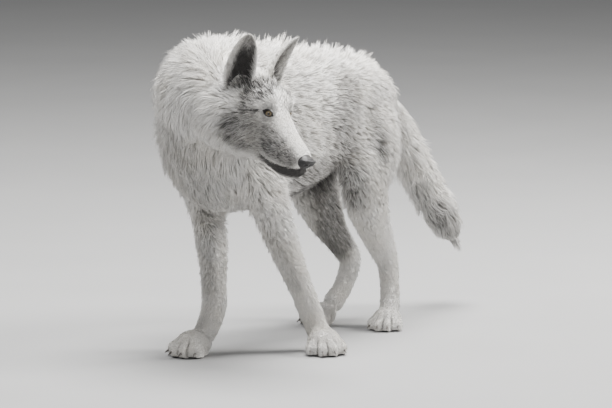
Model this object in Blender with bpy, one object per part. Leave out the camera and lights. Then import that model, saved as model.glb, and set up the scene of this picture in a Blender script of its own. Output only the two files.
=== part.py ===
"""Arctic wolf, standing with its head turned to its left: the solids of a still, life-size model.

The body is lofted from named stations, joined into one smooth skin, parted with thin cuts where a
person would name its parts, and given eyes, ears, nose and claws of their own.
Metres, +Z up, the wolf faces -Y and its left side is +X. The origin ends up under its middle.
"""

import math

import bmesh
import bpy
import numpy as np
from mathutils import Matrix, Vector

# Driving dimensions, out to the tips of the coat.
EYE_RADIUS = 0.0118
EAR_WIDTH = 0.074
THINNEST_TUBE = 0.004
# The width of the cuts that part the body, the air round each piece let into it, and the fewest
# faces that a separate body has.
CUT = 0.0005
GAP = 0.0004
SMALLEST_BODY = 60

# How finely the body is made.
VOXEL = 0.0048
SMOOTHING_STEPS = 5
BODY_TRIANGLES = 4500
FACE_REACH = 0.135
FACE_MIDDLE = Vector((0.175, 0.0, -0.040))
FACE_DENSITY_TRIANGLES = 14600
RING_SIDES = 28
STEPS_BETWEEN_STATIONS = 4
TOE_SEGMENTS = 20

# The head's place: the middle of the back of the skull, and the way it is turned.
HEAD_AT = Vector((0.124, -0.114, 0.626))
HEAD_TURN = math.radians(80)
HEAD_DIP = math.radians(22)
HEAD_ROLL = math.radians(-7)

# Colours of the plain finishes.
COAT_WHITE = (0.80, 0.78, 0.73)
EAR_CREAM = (0.70, 0.67, 0.62)
NOSE_BLACK = (0.03, 0.03, 0.032)
LIP_GREY = (0.16, 0.155, 0.15)
IRIS_AMBER = (0.50, 0.33, 0.12)
CLAW_HORN = (0.10, 0.09, 0.08)


def clear_scene():
    for obj in list(bpy.data.objects):
        bpy.data.objects.remove(obj)


def finish_of(name, colour, roughness, metallic=0.0):
    """One Principled material, made once and shared by name."""
    found = bpy.data.materials.get(name)
    if found:
        return found
    made = bpy.data.materials.new(name)
    made.use_nodes = True
    shader = made.node_tree.nodes["Principled BSDF"]
    shader.inputs["Base Color"].default_value = (*colour, 1.0)
    shader.inputs["Roughness"].default_value = roughness
    shader.inputs["Metallic"].default_value = metallic
    return made


def smooth_path(values, steps=STEPS_BETWEEN_STATIONS):
    """Rows of numbers, with Catmull-Rom rows put between them."""
    rows = np.array(values, float)
    padded = np.vstack([2 * rows[0] - rows[1], rows, 2 * rows[-1] - rows[-2]])
    made = []
    for i in range(len(rows) - 1):
        a, b, c, d = padded[i : i + 4]
        for step in range(steps):
            t = step / steps
            bend = (2 * a - 5 * b + 4 * c - d) * t**2 + (3 * b - a - 3 * c + d) * t**3
            made.append(0.5 * (2 * b + (c - a) * t + bend))
    made.append(rows[-1])
    return np.array(made)


def add_rings(bm, rings):
    """Closed rings of points, bridged in order and closed at both ends."""
    rows = [[bm.verts.new(point) for point in ring] for ring in rings]
    count = len(rows[0])
    for low, high in zip(rows, rows[1:]):
        for i in range(count):
            j = (i + 1) % count
            bm.faces.new((low[i], low[j], high[j], high[i]))
    bm.faces.new(list(reversed(rows[0])))
    bm.faces.new(rows[-1])


def tube(bm, stations, up, squareness=2.0):
    """A closed tube through stations (x, y, z, half width, half height); up is the way of its height."""
    rows = smooth_path(stations)
    centres = rows[:, :3]
    sizes = np.maximum(rows[:, 3:5], THINNEST_TUBE)
    tangents = np.gradient(centres, axis=0)
    turns = np.arange(RING_SIDES) * 2 * math.pi / RING_SIDES
    across = np.sign(np.cos(turns)) * np.abs(np.cos(turns)) ** (2 / squareness)
    along = np.sign(np.sin(turns)) * np.abs(np.sin(turns)) ** (2 / squareness)
    rings = []
    for centre, tangent, (half_width, half_height) in zip(centres, tangents, sizes):
        forward = Vector(tangent).normalized()
        side = forward.cross(Vector(up)).normalized()
        top = side.cross(forward)
        middle = Vector(centre)
        wide, high = side * half_width, top * half_height
        rings.append([middle + wide * a + high * b for a, b in zip(across, along)])
    add_rings(bm, rings)


def ellipsoid(bm, centre, radii, turn):
    """An ellipsoid whose second radius lies along the heading turned by turn about Z from -Y."""
    place = Matrix.Translation(centre) @ Matrix.Rotation(turn, 4, "Z") @ Matrix.Diagonal((*radii, 1.0))
    bmesh.ops.create_uvsphere(
        bm, u_segments=TOE_SEGMENTS, v_segments=TOE_SEGMENTS // 2, radius=1.0, matrix=place
    )


def object_from(bm, name, finish=None):
    bmesh.ops.recalc_face_normals(bm, faces=bm.faces)
    mesh = bpy.data.meshes.new(name)
    bm.to_mesh(mesh)
    bm.free()
    made = bpy.data.objects.new(name, mesh)
    bpy.context.scene.collection.objects.link(made)
    if finish:
        mesh.materials.append(finish)
    return made


def settle(obj):
    """Replaces the object's mesh with what its modifiers make of it."""
    graph = bpy.context.evaluated_depsgraph_get()
    mesh = bpy.data.meshes.new_from_object(obj.evaluated_get(graph))
    obj.modifiers.clear()
    obj.data = mesh
    return obj


# ---------------------------------------------------------------- head

def head_frame():
    """The head's own frame, from the back of the skull: +X to the nose, +Y to the wolf's left, +Z up."""
    level_forward = Vector((math.sin(HEAD_TURN), -math.cos(HEAD_TURN), 0))
    forward = level_forward * math.cos(HEAD_DIP) - Vector((0, 0, math.sin(HEAD_DIP)))
    level_left = Vector((math.cos(HEAD_TURN), math.sin(HEAD_TURN), 0))
    level_up = forward.cross(level_left)
    left = level_left * math.cos(HEAD_ROLL) + level_up * math.sin(HEAD_ROLL)
    up = forward.cross(left)
    axes = Matrix((forward, left, up)).transposed().to_4x4()
    return Matrix.Translation(HEAD_AT) @ axes


# Distance from the back of the skull, top, bottom, half width, squareness, and how much narrower its top is.
HEAD_SECTIONS = (
    (-0.060, 0.020, -0.112, 0.080, 2.0, 0.20),
    (-0.020, 0.044, -0.138, 0.104, 2.0, 0.34),
    (0.025, 0.058, -0.146, 0.114, 2.0, 0.42),
    (0.065, 0.060, -0.140, 0.106, 2.0, 0.38),
    (0.100, 0.056, -0.128, 0.086, 2.1, 0.22),
    (0.130, 0.048, -0.117, 0.065, 2.5, 0.06),
    (0.155, 0.022, -0.112, 0.047, 2.5, 0.04),
    (0.185, 0.001, -0.110, 0.038, 2.4, 0.06),
    (0.215, -0.0135, -0.112, 0.034, 2.3, 0.06),
    (0.240, -0.0235, -0.109, 0.032, 2.2, 0.04),
    (0.259, -0.0305, -0.098, 0.028, 2.1, 0.0),
    (0.273, -0.044, -0.082, 0.018, 2.0, 0.0),
)
EYE_AT = Vector((0.1425, 0.0290, 0.0015))
NOSE_AT = Vector((0.270, 0.0, -0.0525))
NOSE_HALF_WIDTH = 0.0205
NOSE_HALF_HEIGHT = 0.0165
NOSE_LEAN = 0.25
NOSE_NARROWING = 0.24
NOSE_SIDES = 12
# Place along the nose and its size against the widest.
NOSE_RINGS = ((-0.012, 0.72), (-0.006, 0.94), (0.001, 1.0), (0.007, 0.92), (0.0105, 0.66), (0.012, 0.30))
EYE_SEGMENTS = 12
EYE_RINGS = 8
MOUTH_LINE = (
    (0.300, -0.068),
    (0.274, -0.076),
    (0.252, -0.087),
    (0.200, -0.089),
    (0.150, -0.087),
    (0.130, -0.096),
    (0.118, -0.170),
)
# Each ear's base, its tip, and the way its hollow faces, as for a left ear.
EARS = {
    "left_ear": ((0.056, 0.066, 0.022), (0.050, 0.081, 0.143), (0.93, 0.31, 0.12)),
    "right_ear": ((0.060, 0.062, 0.014), (0.056, 0.077, 0.147), (0.66, 0.74, 0.10)),
}
EAR_THICKNESS = 0.0085
EAR_THINNING = 0.45
EAR_BOW = 0.012
EAR_SPREAD = 7
# Place along the ear, width against the widest, and how far round it cups, in degrees.
EAR_RINGS = (
    (0.00, 0.86, 82),
    (0.14, 0.96, 78),
    (0.30, 1.00, 70),
    (0.46, 0.95, 62),
    (0.62, 0.85, 54),
    (0.76, 0.70, 48),
    (0.88, 0.50, 42),
    (0.96, 0.31, 38),
    (1.00, 0.17, 36),
)

# Places on the head that are pushed in or drawn out: centre, reach, and shift; each also on the other side.
HEAD_FEATURES = {
    "eye_socket": ((0.153, 0.040, 0.002), 0.015, (-0.003, -0.009, 0.000)),
    "brow": ((0.136, 0.032, 0.032), 0.018, (0.006, 0.006, 0.008)),
    "stop": ((0.160, 0.006, 0.022), 0.018, (0.000, 0.000, -0.004)),
    "cheekbone": ((0.118, 0.060, -0.022), 0.024, (0.004, 0.005, 0.000)),
    "under_eye": ((0.172, 0.036, -0.018), 0.018, (0.000, -0.003, 0.000)),
    "whisker_pad": ((0.235, 0.028, -0.052), 0.020, (0.002, 0.0035, 0.000)),
    "forehead_furrow": ((0.110, 0.000, 0.056), 0.020, (0.000, 0.000, -0.003)),
    "lip_corner": ((0.165, 0.038, -0.072), 0.016, (0.000, -0.003, 0.000)),
}


def add_head(bm):
    frame = head_frame()
    rows = smooth_path(HEAD_SECTIONS)
    turns = np.arange(RING_SIDES) * 2 * math.pi / RING_SIDES
    rings = []
    for along, top, bottom, half_width, squareness, narrowing in rows:
        middle, half_height = (top + bottom) / 2, (top - bottom) / 2
        power = 2 / squareness
        ring = []
        for turn in turns:
            c, s = math.cos(turn), math.sin(turn)
            y = math.copysign(abs(c) ** power, c) * half_width * (1 - narrowing * max(0.0, s))
            z = middle + math.copysign(abs(s) ** power, s) * half_height
            ring.append(frame @ Vector((along, y, z)))
        rings.append(ring)
    add_rings(bm, rings)


def sculpt_head(obj):
    """Pushes the head's features in and out of the joined body."""
    frame = np.array(head_frame())
    mesh = obj.data
    points = np.empty(len(mesh.vertices) * 3)
    mesh.vertices.foreach_get("co", points)
    points = points.reshape(-1, 3)
    local = (points - frame[:3, 3]) @ frame[:3, :3]
    moved = local.copy()
    for (x, y, z), reach, shift in HEAD_FEATURES.values():
        for side in (1, -1):
            away = np.linalg.norm(local - (x, side * y, z), axis=1) / reach
            moved += np.exp(-(away**2))[:, None] * np.array((shift[0], side * shift[1], shift[2]))
    points = moved @ frame[:3, :3].T + frame[:3, 3]
    mesh.vertices.foreach_set("co", points.ravel())
    mesh.update()


# ---------------------------------------------------------------- trunk, neck, tail, legs

# Each station: place, half width across and half height, out to the tips of the coat.
TRUNK = (
    (0.000, -0.152, 0.470, 0.030, 0.055),
    (0.000, -0.122, 0.480, 0.088, 0.122),
    (0.000, -0.075, 0.490, 0.122, 0.160),
    (0.000, -0.010, 0.500, 0.135, 0.182),
    (0.000, 0.080, 0.500, 0.136, 0.187),
    (0.000, 0.170, 0.500, 0.131, 0.182),
    (0.002, 0.270, 0.504, 0.123, 0.166),
    (0.004, 0.370, 0.521, 0.114, 0.141),
    (0.006, 0.450, 0.538, 0.108, 0.109),
    (0.008, 0.525, 0.534, 0.094, 0.080),
    (0.010, 0.582, 0.514, 0.066, 0.046),
    (0.010, 0.614, 0.500, 0.036, 0.030),
)
NECK = (
    (0.000, 0.120, 0.550, 0.118, 0.128),
    (-0.004, 0.030, 0.572, 0.130, 0.138),
    (-0.004, -0.040, 0.585, 0.124, 0.132),
    (0.016, -0.088, 0.592, 0.112, 0.120),
    (0.055, -0.118, 0.592, 0.106, 0.110),
    (0.100, -0.125, 0.590, 0.096, 0.096),
)
TAIL = (
    (0.008, 0.584, 0.515, 0.044, 0.037),
    (0.010, 0.627, 0.480, 0.047, 0.042),
    (0.013, 0.674, 0.430, 0.047, 0.043),
    (0.018, 0.719, 0.362, 0.047, 0.045),
    (0.026, 0.769, 0.290, 0.044, 0.045),
    (0.034, 0.818, 0.227, 0.042, 0.044),
    (0.039, 0.846, 0.187, 0.033, 0.035),
    (0.042, 0.862, 0.163, 0.019, 0.021),
    (0.043, 0.868, 0.153, 0.007, 0.007),
)
# Legs from the body down to the pastern: half width across and half depth fore and aft.
LEGS = {
    "right_foreleg": (
        (-0.080, -0.005, 0.480, 0.052, 0.080),
        (-0.086, 0.020, 0.400, 0.048, 0.068),
        (-0.078, 0.045, 0.325, 0.041, 0.050),
        (-0.063, 0.046, 0.240, 0.036, 0.039),
        (-0.051, 0.038, 0.160, 0.029, 0.031),
        (-0.044, 0.030, 0.100, 0.029, 0.029),
        (-0.041, 0.006, 0.060, 0.028, 0.027),
        (-0.038, -0.020, 0.036, 0.029, 0.026),
    ),
    "left_foreleg": (
        (0.080, 0.000, 0.480, 0.052, 0.080),
        (0.096, 0.020, 0.400, 0.048, 0.070),
        (0.102, 0.050, 0.325, 0.042, 0.052),
        (0.113, 0.083, 0.240, 0.035, 0.039),
        (0.126, 0.118, 0.160, 0.028, 0.029),
        (0.137, 0.143, 0.100, 0.028, 0.028),
        (0.150, 0.150, 0.060, 0.027, 0.026),
        (0.165, 0.150, 0.036, 0.028, 0.026),
    ),
    "right_hindleg": (
        (-0.026, 0.482, 0.560, 0.048, 0.070),
        (-0.052, 0.480, 0.500, 0.050, 0.088),
        (-0.070, 0.470, 0.430, 0.051, 0.102),
        (-0.079, 0.464, 0.350, 0.047, 0.098),
        (-0.075, 0.484, 0.275, 0.038, 0.070),
        (-0.061, 0.524, 0.200, 0.027, 0.042),
        (-0.044, 0.556, 0.148, 0.023, 0.033),
        (-0.044, 0.549, 0.108, 0.022, 0.027),
        (-0.046, 0.522, 0.068, 0.023, 0.025),
        (-0.050, 0.490, 0.040, 0.026, 0.028),
    ),
    "left_hindleg": (
        (0.036, 0.484, 0.560, 0.048, 0.070),
        (0.066, 0.480, 0.500, 0.050, 0.088),
        (0.087, 0.456, 0.430, 0.052, 0.096),
        (0.101, 0.410, 0.350, 0.048, 0.082),
        (0.098, 0.438, 0.275, 0.038, 0.054),
        (0.086, 0.495, 0.200, 0.027, 0.037),
        (0.077, 0.535, 0.155, 0.023, 0.031),
        (0.081, 0.540, 0.110, 0.022, 0.025),
        (0.090, 0.530, 0.068, 0.023, 0.025),
        (0.100, 0.515, 0.040, 0.026, 0.026),
    ),
}
# The middle of each paw on the floor, its heading from -Y towards +X in degrees, and its size.
PAWS = {
    "right_forepaw": ((-0.035, -0.060), -2, 1.10),
    "left_forepaw": ((0.188, 0.132), 46, 1.10),
    "right_hindpaw": ((-0.052, 0.452), 0, 0.98),
    "left_hindpaw": ((0.114, 0.484), 22, 0.98),
}
# Across and forward places of the toes from the middle of the paw, and the way each points, outermost first.
TOES = ((-0.031, 0.020, -14), (-0.0115, 0.038, -4), (0.0115, 0.038, 4), (0.031, 0.020, 14))
TOE_RADII = (0.0135, 0.0225, 0.0185)
PALM_RADII = (0.037, 0.043, 0.032)
PALM_HEIGHT = 0.022
TOE_HEIGHT = 0.0145
CLAW_LENGTH = 0.0125
CLAW_RADIUS = 0.0040
CLAW_DROP = 0.0050
# Where a claw leaves its toe, from the middle of the toe.
CLAW_ROOT = Vector((0, -0.0140, 0.0125))
CLAW_SIDES = 6
CLAW_STEPS = 3


def paw_frame(name):
    """+X across to the paw's left, -Y the way it points, on the floor."""
    (x, y), heading, size = PAWS[name]
    turn = Matrix.Rotation(math.radians(heading), 4, "Z")
    return Matrix.Translation((x, y, 0)) @ turn @ Matrix.Scale(size, 4), math.radians(heading), size


def add_paw(bm, name):
    frame, heading, size = paw_frame(name)
    ellipsoid(bm, frame @ Vector((0, 0, PALM_HEIGHT)), [r * size for r in PALM_RADII], heading)
    for across, ahead, splay in TOES:
        centre = frame @ Vector((across, -ahead, TOE_HEIGHT))
        ellipsoid(bm, centre, [r * size for r in TOE_RADII], heading + math.radians(splay))


def add_claw(bm, name, toe, grow=0.0):
    """A short horn, bent down, out of the front of a toe; grow makes it thicker all over."""
    frame, _, _ = paw_frame(name)
    across, ahead, splay = TOES[toe]
    way = Matrix.Rotation(math.radians(splay), 4, "Z")
    base = Vector((across, -ahead, 0)) + way @ CLAW_ROOT
    side = (frame.to_3x3() @ way.to_3x3() @ Vector((1, 0, 0))).normalized()
    up = Vector((0, 0, 1))
    ends = {0: grow, CLAW_STEPS: -grow}
    turns = np.arange(CLAW_SIDES) * 2 * math.pi / CLAW_SIDES
    rings = []
    for step in range(CLAW_STEPS + 1):
        t = step / CLAW_STEPS
        along = -CLAW_LENGTH * t + ends.get(step, 0.0)
        radius = CLAW_RADIUS * (1 - 0.75 * t) + grow
        point = frame @ (base + way @ Vector((0, along, -CLAW_DROP * t * t)))
        ring = [point + side * (0.8 * radius * math.cos(a)) + up * (radius * math.sin(a)) for a in turns]
        rings.append(ring)
    add_rings(bm, rings)


# ---------------------------------------------------------------- eyes, nose, ears

def add_eye(bm, side, grow=0.0):
    centre = head_frame() @ Vector((EYE_AT.x, side * EYE_AT.y, EYE_AT.z))
    place = Matrix.Translation(centre)
    bmesh.ops.create_uvsphere(
        bm, u_segments=EYE_SEGMENTS, v_segments=EYE_RINGS, radius=EYE_RADIUS + grow, matrix=place
    )


def add_nose(bm, grow=0.0):
    """The bare pad round the nostrils: a rounded block, broad above and narrow below, blunt in front."""
    frame = head_frame()
    turns = np.arange(NOSE_SIDES) * 2 * math.pi / NOSE_SIDES
    first, last = NOSE_RINGS[0][0], NOSE_RINGS[-1][0]
    rings = []
    for along, size in NOSE_RINGS:
        ends = {first: -grow, last: grow}
        ring = []
        for turn in turns:
            c, s = math.cos(turn), math.sin(turn)
            narrowing = 1 - NOSE_NARROWING * max(0.0, -s)
            y = math.copysign(abs(c) ** 0.8, c) * NOSE_HALF_WIDTH * size * narrowing
            z = math.copysign(abs(s) ** 0.8, s) * NOSE_HALF_HEIGHT * size
            away = Vector((0, y, z)).normalized() * grow
            ahead = along + NOSE_LEAN * z + ends.get(along, 0.0)
            ring.append(frame @ (NOSE_AT + Vector((ahead, y, z)) + away))
        rings.append(ring)
    add_rings(bm, rings)


def add_ear(bm, name):
    """A cupped leaf, open forwards and outwards: each ring runs along its back, then its hollow."""
    frame = head_frame()
    side = 1 if name == "left_ear" else -1
    base, tip, opening = (Vector(v) for v in EARS[name])
    up = (tip - base).normalized()
    opening = (opening - up * opening.dot(up)).normalized()
    across = up.cross(opening)
    rings = []
    spread = np.linspace(-1, 1, EAR_SPREAD)
    for t, width, cup in EAR_RINGS:
        half, bend = EAR_WIDTH / 2 * width, math.radians(cup)
        thick = EAR_THICKNESS * (1 - EAR_THINNING * t)
        middle = base + (tip - base) * t - opening * (EAR_BOW * math.sin(math.pi * t))
        ring = []
        for inside in (0, 1):
            radius = half / math.sin(bend) - inside * thick
            for v in spread[::-1] if inside else spread:
                turn = v * bend
                back = radius * math.cos(turn) - half / math.tan(bend)
                point = middle + across * (radius * math.sin(turn)) - opening * back
                ring.append(frame @ Vector((point.x, side * point.y, point.z)))
        rings.append(ring)
    add_rings(bm, rings)


# ---------------------------------------------------------------- joining and parting

def thin_out(obj, triangles, group=""):
    """Leaves about this many triangles; where a group is named, only its points are thinned."""
    now = sum(len(face.vertices) - 2 for face in obj.data.polygons)
    thin = obj.modifiers.new("thin", "DECIMATE")
    thin.ratio = triangles / now
    thin.use_collapse_triangulate = True
    thin.vertex_group = group
    settle(obj)


def joined_body():
    """Every tube of flesh, joined into one smooth closed surface and thinned to few triangles."""
    bm = bmesh.new()
    tube(bm, TRUNK, up=(0, 0, 1), squareness=2.1)
    tube(bm, NECK, up=(0, 0, 1))
    tube(bm, TAIL, up=(0, 1, 0))
    for stations in LEGS.values():
        tube(bm, stations, up=(0, 1, 0))
    for name in PAWS:
        add_paw(bm, name)
    add_head(bm)
    body = object_from(bm, "body")
    remesh = body.modifiers.new("join", "REMESH")
    remesh.mode = "VOXEL"
    remesh.voxel_size = VOXEL
    smooth = body.modifiers.new("soften", "SMOOTH")
    smooth.factor = 0.5
    smooth.iterations = SMOOTHING_STEPS
    settle(body)
    sculpt_head(body)
    thin_out(body, FACE_DENSITY_TRIANGLES)
    face = head_frame() @ FACE_MIDDLE
    plain = body.vertex_groups.new(name="plain")
    for v in body.data.vertices:
        plain.add([v.index], float((v.co - face).length > FACE_REACH), "REPLACE")
    thin_out(body, BODY_TRIANGLES, "plain")
    return part_into(body, {"body": (0, 0, 0)}, None)["body"]


def add_strip(bm, line, across, half):
    """A thin bent plate: a line of points, swept by half to each side along across."""
    across = Vector(across).normalized()
    line = [Vector(point) for point in line]
    offsets = []
    for i in range(len(line)):
        before = line[max(i, 1)] - line[max(i, 1) - 1]
        after = line[min(i + 1, len(line) - 1)] - line[min(i, len(line) - 2)]
        normals = [across.cross(way).normalized() for way in (before, after)]
        middle = (normals[0] + normals[1]).normalized()
        offsets.append(middle * (CUT / 2 / middle.dot(normals[0])))
    pairs = list(zip(line, offsets))
    outline = [point + offset for point, offset in pairs]
    outline += [point - offset for point, offset in reversed(pairs)]
    add_rings(bm, [[point + across * (sign * half) for point in outline] for sign in (-1, 1)])


def add_plate(bm, centre, facing, half):
    """A flat square plate across the way it faces."""
    facing = Vector(facing).normalized()
    across = facing.orthogonal().normalized() if abs(facing.x) > 0.9 else Vector((1, 0, 0))
    across = (across - facing * across.dot(facing)).normalized()
    along = across.cross(facing)
    add_strip(bm, (Vector(centre) - along * half, Vector(centre) + along * half), across, half)


def difference(obj, cutter):
    """Takes the cutter away from the object, and the cutter out of the scene."""
    cutter.hide_render = True
    cutter.display_type = "WIRE"
    cut = obj.modifiers.new("cut", "BOOLEAN")
    cut.operation = "DIFFERENCE"
    cut.solver = "EXACT"
    cut.object = cutter
    settle(obj)
    bpy.data.objects.remove(cutter)


def bodies_of(mesh):
    """Lists of face numbers, one for each separate body."""
    touching = [[] for _ in mesh.vertices]
    for face in mesh.polygons:
        for v in face.vertices:
            touching[v].append(face.index)
    left = set(range(len(mesh.polygons)))
    found = []
    while left:
        reached, open_faces = set(), [left.pop()]
        while open_faces:
            face = open_faces.pop()
            reached.add(face)
            for v in mesh.polygons[face].vertices:
                for other in touching[v]:
                    if other in left:
                        left.remove(other)
                        open_faces.append(other)
        found.append(sorted(reached))
    return found


def part_into(obj, places, finish):
    """Makes one object of each separate body, named after the nearest place; crumbs are dropped."""
    source = obj.data
    bpy.data.objects.remove(obj)
    made = {}
    for faces in bodies_of(source):
        if len(faces) < SMALLEST_BODY:
            continue
        bm = bmesh.new()
        bm.from_mesh(source)
        bm.faces.ensure_lookup_table()
        kept = set(faces)
        bmesh.ops.delete(bm, geom=[f for f in bm.faces if f.index not in kept], context="FACES")
        points = np.array([v.co for v in bm.verts])
        middle = Vector((points.min(axis=0) + points.max(axis=0)) / 2)
        name = min(places, key=lambda place: (Vector(places[place]) - middle).length)
        made[name] = object_from(bm, name, finish)
    return made


# Where the body is parted: the middle of each plate, the way it faces, and half its side.
BODY_PLATES = (
    ((0.000, 0.000, 0.560), (0.0, -0.76, 0.65), 0.30),
    ((-0.085, 0.040, 0.330), (-0.60, 0.0, -0.80), 0.075),
    ((0.106, 0.045, 0.330), (0.60, 0.0, -0.80), 0.078),
    ((0.000, 0.4495, 0.396), (0.0, 0.455, -0.890), 0.1628),
    ((0.010, 0.634, 0.488), (0.0, 0.87, -0.49), 0.066),
)
PAW_PLATES = (
    ((-0.040, 0.000, 0.058), 0.052),
    ((0.152, 0.150, 0.058), 0.052),
    ((-0.050, 0.512, 0.056), 0.048),
    ((0.094, 0.524, 0.056), 0.048),
)
BODY_PLACES = {
    "head_and_neck": (0.10, -0.10, 0.58),
    "trunk": (0.0, 0.25, 0.50),
    "tail": (0.025, 0.75, 0.35),
    "right_foreleg": (-0.060, 0.035, 0.20),
    "left_foreleg": (0.115, 0.090, 0.20),
    "right_hindleg": (-0.070, 0.50, 0.25),
    "left_hindleg": (0.085, 0.49, 0.25),
    "right_forepaw": (-0.038, -0.040, 0.03),
    "left_forepaw": (0.175, 0.140, 0.03),
    "right_hindpaw": (-0.050, 0.475, 0.03),
    "left_hindpaw": (0.110, 0.495, 0.03),
}
FLOOR_HALF = 1.5
FLOOR_DEPTH = 0.10
# The plate that parts the head from the neck, in the head's own frame: middle, facing, half its side.
HEAD_PLATE = (Vector((-0.004, 0, -0.03)), Vector((1.0, 0, 0.12)), 0.26)
MOUTH_CUT_HALF = 0.12
HEAD_MIDDLE = Vector((0.15, 0, -0.03))
SKULL_MIDDLE = Vector((0.12, 0, -0.02))
JAW_MIDDLE = Vector((0.20, 0, -0.09))
NECK_MIDDLE = (0.0, -0.05, 0.58)


def body_cutter():
    """The plates that part the body, and the floor that its paws are flattened on."""
    bm = bmesh.new()
    for centre, facing, half in BODY_PLATES:
        add_plate(bm, centre, facing, half)
    for centre, half in PAW_PLATES:
        add_plate(bm, centre, (0, 0, 1), half)
    size = Matrix.Diagonal((2 * FLOOR_HALF, 2 * FLOOR_HALF, FLOOR_DEPTH, 1.0))
    bmesh.ops.create_cube(bm, size=1.0, matrix=Matrix.Translation((0, 0, -FLOOR_DEPTH / 2)) @ size)
    return object_from(bm, "body_cutter")


def head_cutter():
    frame = head_frame()
    middle, facing, half = HEAD_PLATE
    bm = bmesh.new()
    add_plate(bm, frame @ middle, frame.to_3x3() @ facing, half)
    return object_from(bm, "head_cutter")


def face_cutter():
    """The mouth line with the back of the jaw, and room for the eyes and the nose."""
    frame = head_frame()
    bm = bmesh.new()
    line = [frame @ Vector((x, 0, z)) for x, z in MOUTH_LINE]
    add_strip(bm, line, frame.to_3x3() @ Vector((0, 1, 0)), MOUTH_CUT_HALF)
    for side in (1, -1):
        add_eye(bm, side, GAP)
    add_nose(bm, GAP)
    return object_from(bm, "face_cutter")


def grown_copy(obj, grow):
    """A copy of the object, thicker all over."""
    bm = bmesh.new()
    bm.from_mesh(obj.data)
    bm.normal_update()
    for v in bm.verts:
        v.co += v.normal * grow
    return object_from(bm, obj.name + "_grown")


def make_paws(parts):
    """Room for the claws in each paw, and the claws."""
    for name in PAWS:
        bm = bmesh.new()
        for toe in range(len(TOES)):
            add_claw(bm, name, toe, GAP)
        difference(parts[name], object_from(bm, "claw_cutter"))
        horn = finish_of("claw_horn", CLAW_HORN, 0.45)
        for toe in range(len(TOES)):
            bm = bmesh.new()
            add_claw(bm, name, toe)
            object_from(bm, f"{name}_claw_{toe + 1}", horn)


def make_head(head_and_neck, coat):
    """The neck, the head, its lower jaw, eyes, nose and ears."""
    difference(head_and_neck, head_cutter())
    frame = head_frame()
    pieces = part_into(head_and_neck, {"head": frame @ HEAD_MIDDLE, "neck": NECK_MIDDLE}, coat)
    difference(pieces["head"], face_cutter())
    pieces = part_into(pieces["head"], {"head": frame @ SKULL_MIDDLE, "lower_jaw": frame @ JAW_MIDDLE}, coat)
    for side, word in ((1, "left"), (-1, "right")):
        bm = bmesh.new()
        add_eye(bm, side)
        object_from(bm, word + "_eye", finish_of("iris_amber", IRIS_AMBER, 0.1))
    for name in EARS:
        bm = bmesh.new()
        add_ear(bm, name)
        ear = object_from(bm, "uncut_ear")
        difference(ear, grown_copy(pieces["head"], GAP))
        part_into(ear, {name: (0, 0, 0)}, finish_of("ear_cream", EAR_CREAM, 0.8))
    bm = bmesh.new()
    add_nose(bm)
    object_from(bm, "nose", finish_of("nose_black", NOSE_BLACK, 0.35))
    pieces["lower_jaw"].data.materials[0] = finish_of("lip_grey", LIP_GREY, 0.8)


def stand_on_origin():
    """Moves everything so that the middle of the model's box is over the origin."""
    corners = [obj.matrix_world @ Vector(c) for obj in bpy.data.objects for c in obj.bound_box]
    low = Vector([min(c[i] for c in corners) for i in range(3)])
    high = Vector([max(c[i] for c in corners) for i in range(3)])
    shift = Vector((-(low.x + high.x) / 2, -(low.y + high.y) / 2, -low.z))
    for obj in bpy.data.objects:
        obj.data.transform(Matrix.Translation(shift))


def main():
    clear_scene()
    coat = finish_of("coat_white", COAT_WHITE, 0.85)
    body = joined_body()
    difference(body, body_cutter())
    parts = part_into(body, BODY_PLACES, coat)
    make_head(parts.pop("head_and_neck"), coat)
    make_paws(parts)
    bpy.context.view_layer.update()
    stand_on_origin()
    for obj in bpy.data.objects:
        obj.data.shade_smooth()


main()
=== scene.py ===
"""Arctic wolf: skin, coat, eyes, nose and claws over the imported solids, with floor, light and camera."""

import math

import bmesh
import bpy
import numpy as np
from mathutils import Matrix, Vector
from mathutils.bvhtree import BVHTree
from mathutils.kdtree import KDTree


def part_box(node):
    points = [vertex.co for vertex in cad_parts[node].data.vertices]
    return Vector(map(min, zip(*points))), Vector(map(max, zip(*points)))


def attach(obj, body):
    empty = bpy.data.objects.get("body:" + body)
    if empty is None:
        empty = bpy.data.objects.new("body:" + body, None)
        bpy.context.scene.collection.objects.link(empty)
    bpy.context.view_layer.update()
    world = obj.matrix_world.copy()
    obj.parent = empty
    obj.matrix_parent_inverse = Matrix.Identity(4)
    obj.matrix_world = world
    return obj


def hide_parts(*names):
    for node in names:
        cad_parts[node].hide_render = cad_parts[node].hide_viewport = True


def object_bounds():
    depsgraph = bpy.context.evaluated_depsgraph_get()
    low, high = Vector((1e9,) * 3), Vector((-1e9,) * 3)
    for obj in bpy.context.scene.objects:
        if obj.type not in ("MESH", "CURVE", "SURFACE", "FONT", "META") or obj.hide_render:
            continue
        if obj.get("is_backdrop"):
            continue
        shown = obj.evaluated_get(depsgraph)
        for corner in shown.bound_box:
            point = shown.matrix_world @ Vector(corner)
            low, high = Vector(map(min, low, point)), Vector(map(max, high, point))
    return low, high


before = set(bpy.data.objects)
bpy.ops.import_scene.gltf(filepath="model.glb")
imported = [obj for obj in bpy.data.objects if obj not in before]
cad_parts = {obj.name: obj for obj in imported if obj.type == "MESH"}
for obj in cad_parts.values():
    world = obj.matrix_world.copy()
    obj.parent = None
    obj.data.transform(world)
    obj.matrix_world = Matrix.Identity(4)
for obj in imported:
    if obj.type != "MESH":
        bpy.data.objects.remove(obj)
CAD_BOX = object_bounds()
RANDOM = np.random.default_rng(7)

FLESH = [
    "head", "lower_jaw", "neck", "trunk", "tail",
    "left_foreleg", "right_foreleg", "left_hindleg", "right_hindleg",
    "left_forepaw", "right_forepaw", "left_hindpaw", "right_hindpaw",
]
EARS = ["left_ear", "right_ear"]
PAWS = [name for name in FLESH if name.endswith("paw")]
CLAWS = [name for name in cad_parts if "_claw_" in name]

# ---- places

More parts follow.
